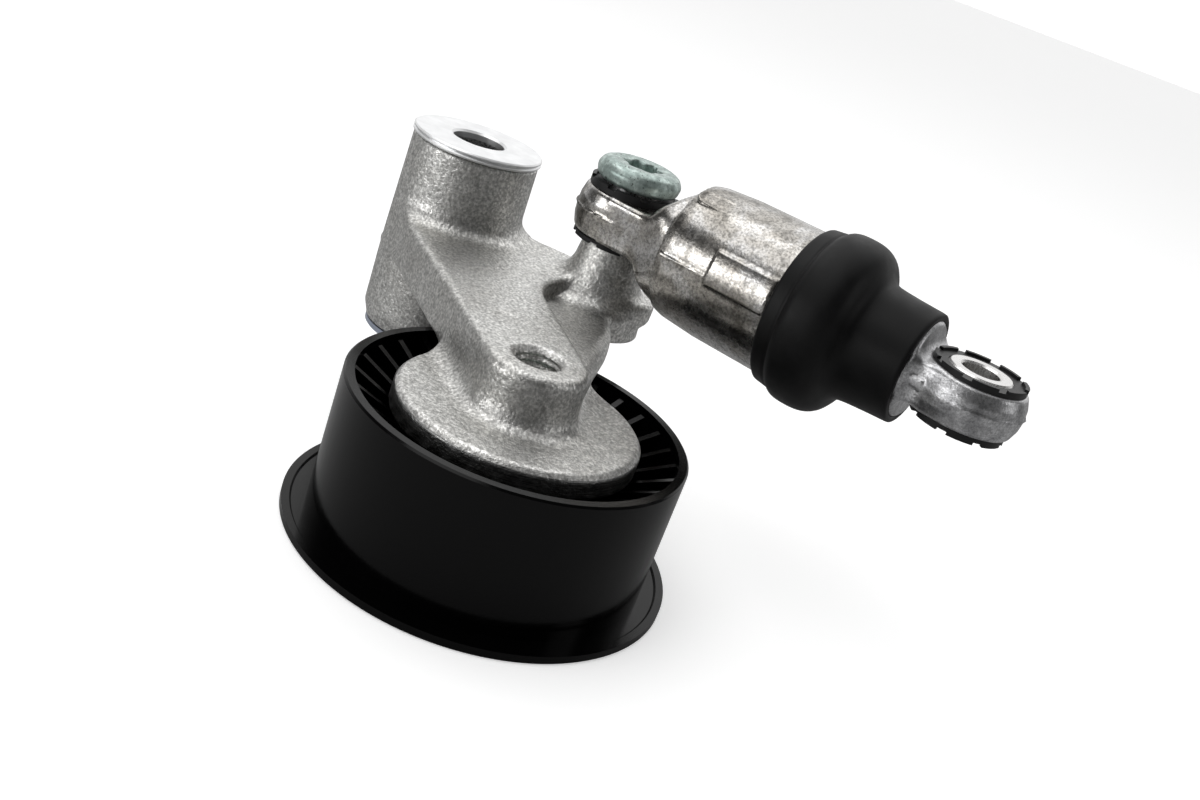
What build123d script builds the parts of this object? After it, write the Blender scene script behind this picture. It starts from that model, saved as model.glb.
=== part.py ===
"""Hydraulic belt tensioner: swing arm, flanged idler pulley and sprung, oil damped strut.

Origin: centre of the pivot bore on the lower (engine side) face. +Z runs up the pivot axis and +X points
from the pivot axis to the pulley axis. All turning axes are parallel to Z. Lengths are in millimetres.
"""
from build123d import *
from math import asin, atan2, cos, degrees, hypot, pi, sin
import os

# ---- driving dimensions ----------------------------------------------------------------------------
# running fits
RUN = 0.05                  # radial clearance of a running fit
GAP = 0.2                   # axial clearance between pieces that turn on each other
BITE = 1.0                  # how far a feature runs into the body it grows from

# pivot
PIVOT_BORE_R = 6.25         # for an M12 bolt
PIVOT_HEIGHT = 50.7
UPPER_DISC_R, UPPER_DISC_T = 15.6, 1.8
LOWER_DISC_R, LOWER_DISC_T = 14.2, 1.5
DISC_EDGE, DISC_GROOVE = 0.3, 0.35
SLEEVE_R = 9.5
BUSH_R = 11.0
BUSH_LENGTH = 20.0
SEAL_R, SEAL_T = 12.6, 1.6
BORE_CHAMFER = 0.5

# arm casting
ARM_BASE_Z = 20.8           # underside of the web, just above the pulley's rim
PLATEAU_Z = 31.5
TUBE_R = 15.6               # at the parting line
TUBE_TOP_R, TUBE_FOOT_R = 15.2, 15.3
TUBE_CHAMFER_R, TUBE_CHAMFER_H = 14.3, 3.4
ARM_HALF_WIDTH = 15.6
PULLEY_BOSS_R = 10.9
WEB_BOSS_R = 10.2            # plan radius of the web round the damper boss
WAIST_DEPTH = 2.6           # hollow of the back edge between tube and damper boss
WEB_WALL = 3.6
WEB_SKIN = 4.2
SHIELD_R, SHIELD_TOP_Z, SHIELD_T = 25.2, 20.2, 5.2
SHIELD_CHAMFER = 1.4
SHIELD_DISH_R = 22.4
SHIELD_DISH_DEPTH = 2.0
SPIGOT_R = 11.6
POCKET_DROP = 3.4           # depth of the sunk side of the web next to the damper boss
POCKET_X, POCKET_EDGE_Y = 38.3, 10.8
POCKET_LENGTH, POCKET_WIDTH = 60.0, 40.0   # runs clear of the web
POCKET_LEAN = 0.93          # the end of the pocket leans back toward the pivot, in mm per mm
THREAD_SINK = 1.5           # countersink of the tapped hole

# damper boss and bolt
BOLT_X, BOLT_Y = 26.1, 30.2
BOSS_TOP_Z, BOSS_TOP_R = 41.6, 7.7
BOSS_WAIST_Z, BOSS_WAIST_R = 36.0, 9.6
BOSS_WEB_R, BOSS_WEB_Z = 12.2, 27.1
BOSS_FOOT_Z, BOSS_FOOT_R = 18.8, 8.4
BOSS_UNDER_Z, BOSS_FOOT_CHAMFER = 23.4, 1.0
LUG_X, LUG_Y = 1.8, 4.8         # centre of the lug, from the bolt's axis
LUG_R, LUG_ROUND = 8.5, 1.5
LUG_Z0, LUG_Z1 = 25.2, 31.2
THREAD_R = 5.0              # M10
THREAD_CORE_R = 4.25
THREAD_END_R = 4.2          # bolt end drawn at its core size, inside the tapped hole
BOLT_END_Z = 20.5
BOLT_HEAD_R, BOLT_HEAD_T = 9.85, 5.0
BOLT_HEAD_ROUND, BOLT_FOOT_ROUND = 2.2, 1.2
BOLT_DISH_R, BOLT_DISH_DEPTH = 24.5, 0.6
SOCKET_R, SOCKET_DEPTH = 4.7, 3.0
SOCKET_LOBES = 6

# pulley
PULLEY_X = 77.1
BARREL_R, RIM_TOP_Z, FLANGE_BOTTOM_Z = 35.0, 20.0, -10.7
RIM_WALL = 2.1
FLANGE_R, FLANGE_T = 40.0, 1.5
FLANGE_LIP_T, FLANGE_LIP_W = 0.4, 1.6
WEB_Z, WEB_T = 3.6, 3.6
HUB_R = 23.6
HUB_LIP = 1.1
RIM_DRAFT = 0.6             # the rim's wall is thinner at its edges by this much
RIB_COUNT, RIB_T = 30, 1.3
RIB_WALL_Z, RIB_HUB_Z = 18.6, 13.0

# pulley bearing, 17 x 40 x 12
BEARING_MID_Z = 5.4
BEARING_BORE_R, BEARING_OUTER_R, BEARING_WIDTH = 8.5, 20.0, 12.0
BALL_R, BALL_COUNT = 3.375, 8
INNER_LAND_R, OUTER_LAND_R = 12.1, 16.9
RACE_CLEARANCE = 0.02
CAGE_HALF_W, CAGE_FLOOR, CAGE_OPEN = 1.9, 1.2, 0.4
BEARING_SEAL_T, BEARING_SEAL_INSET, BEARING_STEP = 0.7, 0.3, 0.6
PULLEY_BOLT_TIP_Z = 24.0
PULLEY_BOLT_HEAD_R, PULLEY_BOLT_HEAD_T = 9.4, 5.2
PULLEY_BOLT_FLANGE_T = 1.6
HEX_FLATS = 15.0
DUST_CAP_R, DUST_CAP_T = 16.4, 1.2
DUST_CAP_ROUND, DUST_CAP_RIM, DUST_CAP_AIR = 2.0, 1.4, 0.8

# damper, laid out along its own axis from the upper eye
DAMPER_Z = 48.3
DAMPER_AZIMUTH = 37.4
EYE_TO_EYE = 87.7
UPPER_EYE_R, UPPER_EYE_WIDTH = 11.6, 11.0
UPPER_EYE_BORE_R = 9.0
EYE_SLEEVE_R, EYE_SLEEVE_BORE_R, EYE_SLEEVE_LENGTH = 7.0, 5.15, 14.2
COLLAR_R = 10.3
UPPER_COLLAR_T = {1: 1.8, -1: 1.1}
CROWN_T, CROWN_WALL = 0.6, 0.9   # broken wall round the rim of each collar
CROWN_GAPS, CROWN_GAP_W = 8, 2.2
NECK_WIDTH, NECK_END_X = 22.4, 10.6
SHOULDER_X, SHOULDER_R = 18.4, 14.6
SHOULDER_STEP = 0.5
BARREL_START_R, BARREL_MID_R, BARREL_LIP_R = 15.5, 16.5, 16.7
HOUSING_END_X, HOUSING_END_R = 58.5, 15.9
BOOT_LIP_X = 46.6
CAVITY_X, CAVITY_R = 22.5, 13.6
PAD_LENGTH, PAD_WIDTH, PAD_HEIGHT = 14.7, 7.8, 0.6
PAD_END_X, PAD_TURN = 46.2, 78.0
CYLINDER_R, CYLINDER_BORE_R, CYLINDER_END_X = 9.2, 8.0, 57.0
PISTON_X = 47.5
PISTON_SEAL_T, PISTON_SEAL_W, PISTON_SEAL_X = 1.2, 1.6, 2.0
PISTON_WALL, PISTON_FOOT = 2.4, 6.0
SPRING_R, SPRING_WIRE_R, SPRING_TURNS = 10.7, 0.95, 8

# check valve, at the closed end of the pressure cylinder
SEAT_T, SEAT_HOLE_R = 3.0, 1.6
BALL_SEAT_DEPTH = 1.75       # centre of the ball above the seat's face
CHECK_BALL_R = 2.4
VALVE_CAGE_R, VALVE_CAGE_T, VALVE_CAGE_LENGTH = 4.2, 0.6, 7.0
VALVE_SPRING_WIRE_R, VALVE_SPRING_TURNS = 0.2, 4

# boot
BOOT_LIP_R, BOOT_BULGE_R = 18.1, 19.6
BOOT_BULGE_X0, BOOT_BULGE_X1 = 50.4, 61.2
BOOT_EDGE = 0.7
BOOT_STEP = 1.5
BOOT_TAPER, BOOT_TUCK = 2.4, 2.8
BOOT_FOLD = ((-4.0, 0.0), (-1.0, -1.0), (1.2, -3.4))    # outside of the fold, from the bulge's end
BOOT_TUBE_R, BOOT_END_R, BOOT_END_X = 13.4, 12.7, 76.0
BOOT_WALL = 1.6
BOOT_CLAMP_R = 0.8

# rod end and lower eye
PLUG_START_X, PLUG_R = 63.5, 11.0
SPRING_PLATE_R, SPRING_PLATE_T = 11.8, 1.6
PLUG_RECESS_R, PLUG_RECESS_DEPTH = 9.6, 9.0
PLUG_FACE_X = 76.5
TAB_WIDTH, TAB_T = 18.6, 9.4
LOWER_EYE_R, LOWER_EYE_WIDTH = 11.8, 9.6
LOWER_EYE_BORE_R = 9.0
LOWER_SLEEVE_R, LOWER_SLEEVE_BORE_R = 6.9, 4.1
LOWER_COLLAR_R, LOWER_COLLAR_T = 10.0, 1.5
LOWER_SLEEVE_SUNK = 0.3      # the sleeve's faces below the collars' crowns
EDGE = 0.4                  # small turned bevels

CLEAR_STRUT = 0.05          # between pieces of the strut that only touch


# ---- helpers ---------------------------------------------------------------------------------------
def ring(outer, inner, z0, z1):
    """Plain ring about Z from z0 to z1."""
    height = z1 - z0
    return Pos(0, 0, (z0 + z1) / 2) * (Cylinder(outer, height) - Cylinder(inner, height))


def turned(*points):
    """Solid of revolution about Z from a closed outline of (radius, z) points."""
    outline = Plane.XZ * make_face(Polyline(*points, close=True))
    return revolve(outline, Axis.Z)


def disc(radius, z0, z1):
    return Pos(0, 0, (z0 + z1) / 2) * Cylinder(radius, z1 - z0)


def along_strut(shape):
    """Turn a shape modelled up the Z axis so that it lies along the strut's own X axis."""
    return Rot(0, 90, 0) * shape


def on_strut(shape):
    """Place a shape from the strut's own frame (X from eye to eye, Z up) into the part's frame."""
    return Pos(BOLT_X, BOLT_Y, DAMPER_Z) * Rot(0, 0, DAMPER_AZIMUTH) * shape


def at_pulley(shape):
    return Pos(PULLEY_X, 0, 0) * shape


def at_damper_bolt(shape):
    return Pos(BOLT_X, BOLT_Y, 0) * shape


def coil(radius, wire, turns, x0, x1):
    """Compression spring with its wire inside x0 and x1 on the strut's axis."""
    height = x1 - x0 - 2 * wire
    path = Pos(0, 0, x0 + wire) * Helix(height / turns, height, radius)
    section = Plane(path @ 0, z_dir=path % 0) * Circle(wire)
    return along_strut(sweep(section, path, is_frenet=True))


# ---- pivot -----------------------------------------------------------------------------------------
SLEEVE_TOP_Z = PIVOT_HEIGHT - UPPER_DISC_T
TUBE_BOTTOM_Z, TUBE_TOP_Z = LOWER_DISC_T + GAP, SLEEVE_TOP_Z - GAP


def pivot_sleeve():
    return ring(SLEEVE_R, PIVOT_BORE_R, LOWER_DISC_T, SLEEVE_TOP_Z)


def pivot_disc_upper():
    """Steel thrust disc with a chamfered hole and a shallow groove turned round its edge."""
    z0, z1 = SLEEVE_TOP_Z, PIVOT_HEIGHT
    middle, groove = (z0 + z1) / 2, DISC_GROOVE
    return turned(
        (PIVOT_BORE_R, z0), (UPPER_DISC_R - DISC_EDGE, z0), (UPPER_DISC_R, z0 + DISC_EDGE),
        (UPPER_DISC_R, middle - groove), (UPPER_DISC_R - groove, middle), (UPPER_DISC_R, middle + groove),
        (UPPER_DISC_R, z1 - DISC_EDGE), (UPPER_DISC_R - DISC_EDGE, z1), (PIVOT_BORE_R + BORE_CHAMFER, z1),
        (PIVOT_BORE_R, z1 - BORE_CHAMFER))


def pivot_disc_lower():
    return turned(
        (PIVOT_BORE_R + BORE_CHAMFER, 0), (LOWER_DISC_R - DISC_EDGE, 0), (LOWER_DISC_R, DISC_EDGE),
        (LOWER_DISC_R, LOWER_DISC_T), (PIVOT_BORE_R, LOWER_DISC_T), (PIVOT_BORE_R, BORE_CHAMFER))


def pivot_bush(z0):
    return ring(BUSH_R, SLEEVE_R + RUN, z0, z0 + BUSH_LENGTH)


def pivot_seal(z0):
    """Rubber ring with a shallow groove in the face that meets the disc."""
    return ring(SEAL_R, SLEEVE_R + RUN, z0, z0 + SEAL_T)


# ---- arm -------------------------------------------------------------------------------------------
BUSH_LOWER_Z = TUBE_BOTTOM_Z + SEAL_T
BUSH_UPPER_Z = TUBE_TOP_Z - SEAL_T - BUSH_LENGTH
INNER_RING_TOP_Z = BEARING_MID_Z + BEARING_WIDTH / 2


def pivot_tube():
    """Outside of the pivot tube, drafted both ways from the parting line, with a wide foot chamfer."""
    chamfer_z = TUBE_BOTTOM_Z + TUBE_CHAMFER_H
    return turned(
        (0, TUBE_BOTTOM_Z), (TUBE_CHAMFER_R, TUBE_BOTTOM_Z), (TUBE_FOOT_R, chamfer_z), (TUBE_R, ARM_BASE_Z),
        (TUBE_TOP_R, TUBE_TOP_Z), (0, TUBE_TOP_Z))


def web_outline(shrink=0.0):
    """Plan of the arm: a long triangle round the pivot tube, the pulley boss and the damper boss."""
    tube, pulley, boss = ARM_HALF_WIDTH - shrink, PULLEY_BOSS_R - shrink, WEB_BOSS_R - shrink
    lower_lean = asin((tube - pulley) / PULLEY_X)
    reach = hypot(PULLEY_X - BOLT_X, BOLT_Y)
    outer_lean = asin((boss - pulley) / reach)
    outer = atan2(-BOLT_Y, PULLEY_X - BOLT_X) + pi / 2 - outer_lean
    boss_direction = atan2(BOLT_Y, BOLT_X)
    back = boss_direction + pi / 2 - asin((tube - boss) / hypot(BOLT_X, BOLT_Y))

    def on(centre_x, centre_y, radius, angle):
        return (centre_x + radius * cos(angle), centre_y + radius * sin(angle))

    low = lower_lean - pi / 2
    boss_end, tube_end = on(BOLT_X, BOLT_Y, boss, back), on(0, 0, tube, back)
    waist = ((boss_end[0] + tube_end[0]) / 2 - WAIST_DEPTH * cos(back),
             (boss_end[1] + tube_end[1]) / 2 - WAIST_DEPTH * sin(back))
    outline = [
        Line(on(0, 0, tube, low), on(PULLEY_X, 0, pulley, low)),
        ThreePointArc(on(PULLEY_X, 0, pulley, low), on(PULLEY_X, 0, pulley, (low + outer) / 2),
                      on(PULLEY_X, 0, pulley, outer)),
        Line(on(PULLEY_X, 0, pulley, outer), on(BOLT_X, BOLT_Y, boss, outer)),
        ThreePointArc(on(BOLT_X, BOLT_Y, boss, outer), on(BOLT_X, BOLT_Y, boss, (outer + back) / 2),
                      on(BOLT_X, BOLT_Y, boss, back)),
        ThreePointArc(on(BOLT_X, BOLT_Y, boss, back), waist, on(0, 0, tube, back)),
        ThreePointArc(on(0, 0, tube, back), on(0, 0, tube, (back + low + 2 * pi) / 2), on(0, 0, tube, low)),
    ]
    return make_face(outline)


def damper_boss():
    """Round boss that carries the strut: cone above the web, narrower foot below, low lug on its far side."""
    cone = turned(
        (0, BOSS_FOOT_Z), (BOSS_FOOT_R - BOSS_FOOT_CHAMFER, BOSS_FOOT_Z),
        (BOSS_FOOT_R, BOSS_FOOT_Z + BOSS_FOOT_CHAMFER), (BOSS_FOOT_R, BOSS_UNDER_Z), (BOSS_WEB_R, BOSS_WEB_Z),
        (BOSS_WAIST_R, BOSS_WAIST_Z), (BOSS_TOP_R, BOSS_TOP_Z), (0, BOSS_TOP_Z))
    lug = disc(LUG_R, LUG_Z0, LUG_Z1)
    lug = fillet(lug.edges().filter_by(GeomType.CIRCLE), LUG_ROUND)
    return cone + Pos(LUG_X, LUG_Y, 0) * lug


def shield():
    """Round shield in the pulley's mouth, dished underneath, with the spigot that meets the bearing."""
    bottom = SHIELD_TOP_Z - SHIELD_T
    dish = bottom + SHIELD_DISH_DEPTH
    return turned(
        (0, INNER_RING_TOP_Z), (SPIGOT_R, INNER_RING_TOP_Z), (SPIGOT_R, dish), (SHIELD_DISH_R, dish),
        (SHIELD_DISH_R, bottom), (SHIELD_R, bottom), (SHIELD_R, SHIELD_TOP_Z - SHIELD_CHAMFER),
        (SHIELD_R - SHIELD_CHAMFER, SHIELD_TOP_Z), (0, SHIELD_TOP_Z))


def sunk_side():
    """Wedge that lowers the web beside the damper boss, running out to nothing at the pulley boss."""
    slope = degrees(asin(POCKET_DROP / (PULLEY_X - BOLT_X)))
    outline = Polyline(
        (0, 0), (POCKET_LENGTH, 0), (POCKET_LENGTH, POCKET_WIDTH),
        (-POCKET_LEAN * POCKET_WIDTH, POCKET_WIDTH), close=True)
    wedge = extrude(make_face(outline), PLATEAU_Z)
    return Pos(POCKET_X, POCKET_EDGE_Y, PLATEAU_Z - POCKET_DROP) * Rot(0, -slope, 0) * wedge


def web_hollow():
    """Hollow under the web, clear of the tube, the bosses and the shield."""
    inside = extrude(web_outline(WEB_WALL), PLATEAU_Z - POCKET_DROP - WEB_SKIN - ARM_BASE_Z)
    boss_distance = hypot(BOLT_X, BOLT_Y)
    rib = Pos(BOLT_X / 2, BOLT_Y / 2) * Rot(0, 0, degrees(atan2(BOLT_Y, BOLT_X))) * Box(
        boss_distance, WEB_WALL, PLATEAU_Z)
    keep = Cylinder(TUBE_R, PLATEAU_Z) + rib
    keep += Pos(BOLT_X, BOLT_Y) * Cylinder(BOSS_WEB_R, PLATEAU_Z)
    keep += Pos(PULLEY_X, 0) * Cylinder(SHIELD_R, PLATEAU_Z)
    return Pos(0, 0, ARM_BASE_Z) * (inside - keep)


def arm_bores():
    """Bush bore with a seal seat at each end, the tapped pulley hole and the tapped damper hole."""
    bush_top = BUSH_UPPER_Z + BUSH_LENGTH
    tube = turned(
        (0, TUBE_BOTTOM_Z), (SEAL_R, TUBE_BOTTOM_Z), (SEAL_R, BUSH_LOWER_Z), (BUSH_R, BUSH_LOWER_Z),
        (BUSH_R, bush_top), (SEAL_R, bush_top), (SEAL_R, TUBE_TOP_Z), (0, TUBE_TOP_Z))
    pulley_hole = turned(
        (0, INNER_RING_TOP_Z), (THREAD_CORE_R, INNER_RING_TOP_Z), (THREAD_CORE_R, PLATEAU_Z - THREAD_SINK),
        (THREAD_CORE_R + THREAD_SINK, PLATEAU_Z), (0, PLATEAU_Z))
    damper_hole = disc(THREAD_CORE_R, BOLT_END_Z - THREAD_SINK, BOSS_TOP_Z)
    return tube + at_pulley(pulley_hole) + at_damper_bolt(damper_hole)


def arm_casting():
    web = extrude(web_outline(), PLATEAU_Z - ARM_BASE_Z)
    web = Pos(0, 0, ARM_BASE_Z) * web
    web = web - sunk_side()
    body = web - web_hollow() + pivot_tube() + at_damper_bolt(damper_boss())
    body += at_pulley(disc(PULLEY_BOSS_R, SHIELD_TOP_Z - BITE, PLATEAU_Z - BITE)) + at_pulley(shield())
    return body - arm_bores()


def pulley_bolt():
    """Flanged hex bolt up through the bearing into the arm, its thread drawn at core size."""
    head_z = BEARING_MID_Z - BEARING_WIDTH / 2
    thread_z = INNER_RING_TOP_Z - RUN
    flange = disc(PULLEY_BOLT_HEAD_R, head_z - PULLEY_BOLT_FLANGE_T, head_z)
    hexagon = extrude(
        RegularPolygon(HEX_FLATS / 2, 6, major_radius=False), PULLEY_BOLT_HEAD_T - PULLEY_BOLT_FLANGE_T)
    head = flange + Pos(0, 0, head_z - PULLEY_BOLT_HEAD_T) * hexagon
    shank = disc(THREAD_R, head_z, thread_z) + disc(THREAD_END_R, thread_z, PULLEY_BOLT_TIP_Z)
    return at_pulley(head + shank)


def bearing_spacer():
    """Steel bush that fills the bearing bore round the bolt."""
    z0 = BEARING_MID_Z - BEARING_WIDTH / 2
    return at_pulley(ring(BEARING_BORE_R, THREAD_R + RUN, z0, z0 + BEARING_WIDTH))


def damper_bolt():
    """Round edged, lightly dished head with a six lobed socket, plain shank, threaded end in the boss."""
    head_z = BOSS_TOP_Z + EYE_SLEEVE_LENGTH
    top_z = head_z + BOLT_HEAD_T
    head = disc(BOLT_HEAD_R, head_z, top_z)
    head = fillet(head.edges().filter_by(GeomType.CIRCLE).sort_by(Axis.Z)[-1], BOLT_HEAD_ROUND)
    head = fillet(head.edges().filter_by(GeomType.CIRCLE).sort_by(Axis.Z)[0], BOLT_FOOT_ROUND)
    head -= Pos(0, 0, top_z + BOLT_DISH_R - BOLT_DISH_DEPTH) * Sphere(BOLT_DISH_R)
    lobe_r = SOCKET_R / 4
    socket = Circle(SOCKET_R - lobe_r)
    for lobe in range(SOCKET_LOBES):
        angle = 2 * pi * lobe / SOCKET_LOBES
        socket += Pos((SOCKET_R - lobe_r) * cos(angle), (SOCKET_R - lobe_r) * sin(angle)) * Circle(lobe_r)
    head -= Pos(0, 0, top_z - SOCKET_DEPTH) * extrude(socket, SOCKET_DEPTH)
    shank = disc(THREAD_R, BOSS_TOP_Z + RUN, head_z) + disc(THREAD_END_R, BOLT_END_Z, BOSS_TOP_Z + RUN)
    return at_damper_bolt(head + shank)


def upper_eye_sleeve():
    return at_damper_bolt(ring(EYE_SLEEVE_R, EYE_SLEEVE_BORE_R, BOSS_TOP_Z, BOSS_TOP_Z + EYE_SLEEVE_LENGTH))


# ---- pulley ----------------------------------------------------------------------------------------
def pulley_wheel():
    """Moulded wheel: smooth barrel, one flange, web, hub round the bearing, and ribs in the mouth."""
    inner_r = BARREL_R - RIM_WALL
    seat_bottom, seat_top = BEARING_MID_Z - BEARING_WIDTH / 2, BEARING_MID_Z + BEARING_WIDTH / 2
    hub_bottom, hub_top = seat_bottom - HUB_LIP, seat_top + HUB_LIP
    lip_r = BEARING_OUTER_R - HUB_LIP
    flange_top = FLANGE_BOTTOM_Z + FLANGE_T
    lip_top = flange_top + FLANGE_LIP_T
    wheel = turned(
        (lip_r, hub_bottom), (HUB_R, hub_bottom), (HUB_R, WEB_Z), (inner_r - RIM_DRAFT, WEB_Z),
        (inner_r, FLANGE_BOTTOM_Z), (FLANGE_R - EDGE, FLANGE_BOTTOM_Z), (FLANGE_R, FLANGE_BOTTOM_Z + EDGE),
        (FLANGE_R, lip_top), (FLANGE_R - FLANGE_LIP_W, lip_top),
        (FLANGE_R - FLANGE_LIP_W - EDGE, flange_top), (BARREL_R, flange_top),
        (BARREL_R, RIM_TOP_Z - EDGE), (BARREL_R - EDGE, RIM_TOP_Z),
        (inner_r, RIM_TOP_Z), (inner_r - RIM_DRAFT, WEB_Z + WEB_T), (HUB_R, WEB_Z + WEB_T),
        (HUB_R, hub_top), (lip_r, hub_top), (lip_r, seat_top), (BEARING_OUTER_R, seat_top),
        (BEARING_OUTER_R, seat_bottom), (lip_r, seat_bottom))
    rib_in, rib_out, foot = HUB_R - BITE, inner_r + BITE / 2, WEB_Z + BITE
    side = Plane.XZ * make_face(Polyline(
        (rib_in, foot), (rib_out, foot), (rib_out, RIB_WALL_Z), (rib_in, RIB_HUB_Z), close=True))
    rib = Pos(0, RIB_T / 2, 0) * extrude(side, RIB_T)
    for index in range(RIB_COUNT):
        wheel += Rot(0, 0, 360 * index / RIB_COUNT) * rib
    return at_pulley(wheel)


def race():
    """Ball track: a ring of circular section that is cut from both bearing rings."""
    return Pos(0, 0, BEARING_MID_Z) * Torus((INNER_LAND_R + OUTER_LAND_R) / 2, BALL_R + RACE_CLEARANCE)


def bearing_inner_ring():
    z0 = BEARING_MID_Z - BEARING_WIDTH / 2
    blank = ring(INNER_LAND_R, BEARING_BORE_R, z0, z0 + BEARING_WIDTH)
    return at_pulley(blank - race())


def bearing_outer_ring():
    """Outer ring with a step at each side for the seal."""
    z0, z1 = BEARING_MID_Z - BEARING_WIDTH / 2, BEARING_MID_Z + BEARING_WIDTH / 2
    blank = ring(BEARING_OUTER_R, OUTER_LAND_R, z0, z1)
    depth = BEARING_SEAL_INSET + BEARING_SEAL_T
    for low, high in ((z0, z0 + depth), (z1 - depth, z1)):
        blank -= disc(OUTER_LAND_R + BEARING_STEP, low, high)
    return at_pulley(blank - race())


def bearing_seal(low):
    """Thin rubber lip seal held in the outer ring, just clear of the inner ring."""
    return at_pulley(ring(OUTER_LAND_R + BEARING_STEP, INNER_LAND_R + RUN, low, low + BEARING_SEAL_T))


def ball_places():
    radius = (INNER_LAND_R + OUTER_LAND_R) / 2
    for index in range(BALL_COUNT):
        angle = 2 * pi * index / BALL_COUNT
        yield Pos(radius * cos(angle), radius * sin(angle), BEARING_MID_Z)


def bearing_balls():
    return Compound(children=[at_pulley(place * Sphere(BALL_R)) for place in ball_places()])


def bearing_cage():
    """Snap in cage: a ring on one side of the balls with a pocket for each."""
    middle, foot = (INNER_LAND_R + OUTER_LAND_R) / 2, BEARING_MID_Z - BALL_R - CAGE_FLOOR
    band = ring(middle + CAGE_HALF_W, middle - CAGE_HALF_W, foot, BEARING_MID_Z - CAGE_OPEN)
    for place in ball_places():
        band -= place * Sphere(BALL_R + RUN)
    return at_pulley(band)


def dust_cap():
    """Pressed cap over the bolt head on the flange side of the hub."""
    seat_r = BEARING_OUTER_R - HUB_LIP
    top = BEARING_MID_Z - BEARING_WIDTH / 2 - RUN
    floor = top - PULLEY_BOLT_HEAD_T - DUST_CAP_T - DUST_CAP_AIR
    corner_z, half_t = floor + DUST_CAP_ROUND, DUST_CAP_T / 2
    cup = turned(
        (0, floor), (DUST_CAP_R - DUST_CAP_ROUND, floor), (DUST_CAP_R, corner_z),
        (seat_r, top - DUST_CAP_RIM), (seat_r, top), (seat_r - DUST_CAP_T, top),
        (DUST_CAP_R - DUST_CAP_T, corner_z + half_t),
        (DUST_CAP_R - DUST_CAP_ROUND - half_t, floor + DUST_CAP_T), (0, floor + DUST_CAP_T))
    return at_pulley(cup)


# ---- strut: fixed half -----------------------------------------------------------------------------
def shoulder_outline(half_start):
    """Closed outline along the strut whose width grows from the neck's to the barrel's."""
    end_x = SHOULDER_X + BITE
    one_side = [(0, half_start), (NECK_END_X, half_start), (SHOULDER_X, SHOULDER_R), (end_x, SHOULDER_R)]
    other_side = [(x, -half) for x, half in reversed(one_side)]
    return make_face(Polyline(*one_side, *other_side, close=True))


def damper_housing():
    """Die cast oil housing: eye, neck, wedge shaped shoulder and drafted barrel, open at the boot end."""
    half_eye, half_neck = UPPER_EYE_WIDTH / 2, NECK_WIDTH / 2
    middle_x, step_x = (SHOULDER_X + BOOT_LIP_X) / 2, BOOT_LIP_X + BITE
    barrel = turned(
        (0, SHOULDER_X), (BARREL_START_R - SHOULDER_STEP, SHOULDER_X),
        (BARREL_START_R, SHOULDER_X + SHOULDER_STEP), (BARREL_MID_R, middle_x),
        (BARREL_LIP_R, step_x), (HOUSING_END_R, step_x + 2 * BITE),
        (HOUSING_END_R, HOUSING_END_X), (CAVITY_R, HOUSING_END_X), (CAVITY_R, CAVITY_X), (0, CAVITY_X))
    neck = extrude(Plane.XZ * shoulder_outline(half_eye), SHOULDER_R, both=True)
    neck &= extrude(shoulder_outline(half_neck), SHOULDER_R, both=True)
    neck &= along_strut(disc(SHOULDER_R, 0, SHOULDER_X + BITE))
    pad = Pos(PAD_END_X - PAD_LENGTH / 2, 0, 0) * Rot(PAD_TURN, 0, 0) * Pos(0, 0, BARREL_MID_R) * Box(
        PAD_LENGTH, PAD_WIDTH, 2 * PAD_HEIGHT)
    solid = along_strut(barrel) + disc(UPPER_EYE_R, -half_eye, half_eye) + neck + pad
    return on_strut(solid - disc(UPPER_EYE_BORE_R, -UPPER_EYE_WIDTH, UPPER_EYE_WIDTH))


def eye_collar(flange_r, flange_t, width, bore_r, sleeve_r, side):
    """Plastic collar: a short liner pressed in the eye, and a flange with a low broken crown."""
    inner_r, face, top = sleeve_r + RUN, width / 2, width / 2 + flange_t
    collar = ring(bore_r, inner_r, RUN, face) + ring(flange_r, inner_r, face, top - CROWN_T)
    crown = ring(flange_r, flange_r - CROWN_WALL, top - CROWN_T, top)
    for index in range(CROWN_GAPS):
        gap = Pos(flange_r, 0, top) * Box(4 * CROWN_WALL, CROWN_GAP_W, 2 * CROWN_T)
        crown -= Rot(0, 0, 360 * index / CROWN_GAPS) * gap
    collar += crown
    return collar if side > 0 else Rot(180, 0, 0) * collar


def upper_eye_collar(side):
    flange_t = UPPER_COLLAR_T[side]
    return on_strut(eye_collar(COLLAR_R, flange_t, UPPER_EYE_WIDTH, UPPER_EYE_BORE_R, EYE_SLEEVE_R, side))


def pressure_cylinder():
    """Steel cylinder that stands on the closed end of the housing."""
    return on_strut(along_strut(ring(CYLINDER_R, CYLINDER_BORE_R, CAVITY_X, CYLINDER_END_X)))


SEAT_TOP_X = CAVITY_X + SEAT_T
BALL_SEAT_X = SEAT_TOP_X + BALL_SEAT_DEPTH


def check_valve_seat():
    """Plug in the cylinder's foot with a hole and the conical seat of the check ball."""
    seat = disc(CYLINDER_BORE_R, CAVITY_X, SEAT_TOP_X) - disc(SEAT_HOLE_R, CAVITY_X, SEAT_TOP_X)
    seat -= Pos(0, 0, BALL_SEAT_X) * Sphere(CHECK_BALL_R + RUN)
    return on_strut(along_strut(seat))


def check_valve_ball():
    return on_strut(along_strut(Pos(0, 0, BALL_SEAT_X) * Sphere(CHECK_BALL_R)))


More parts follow.
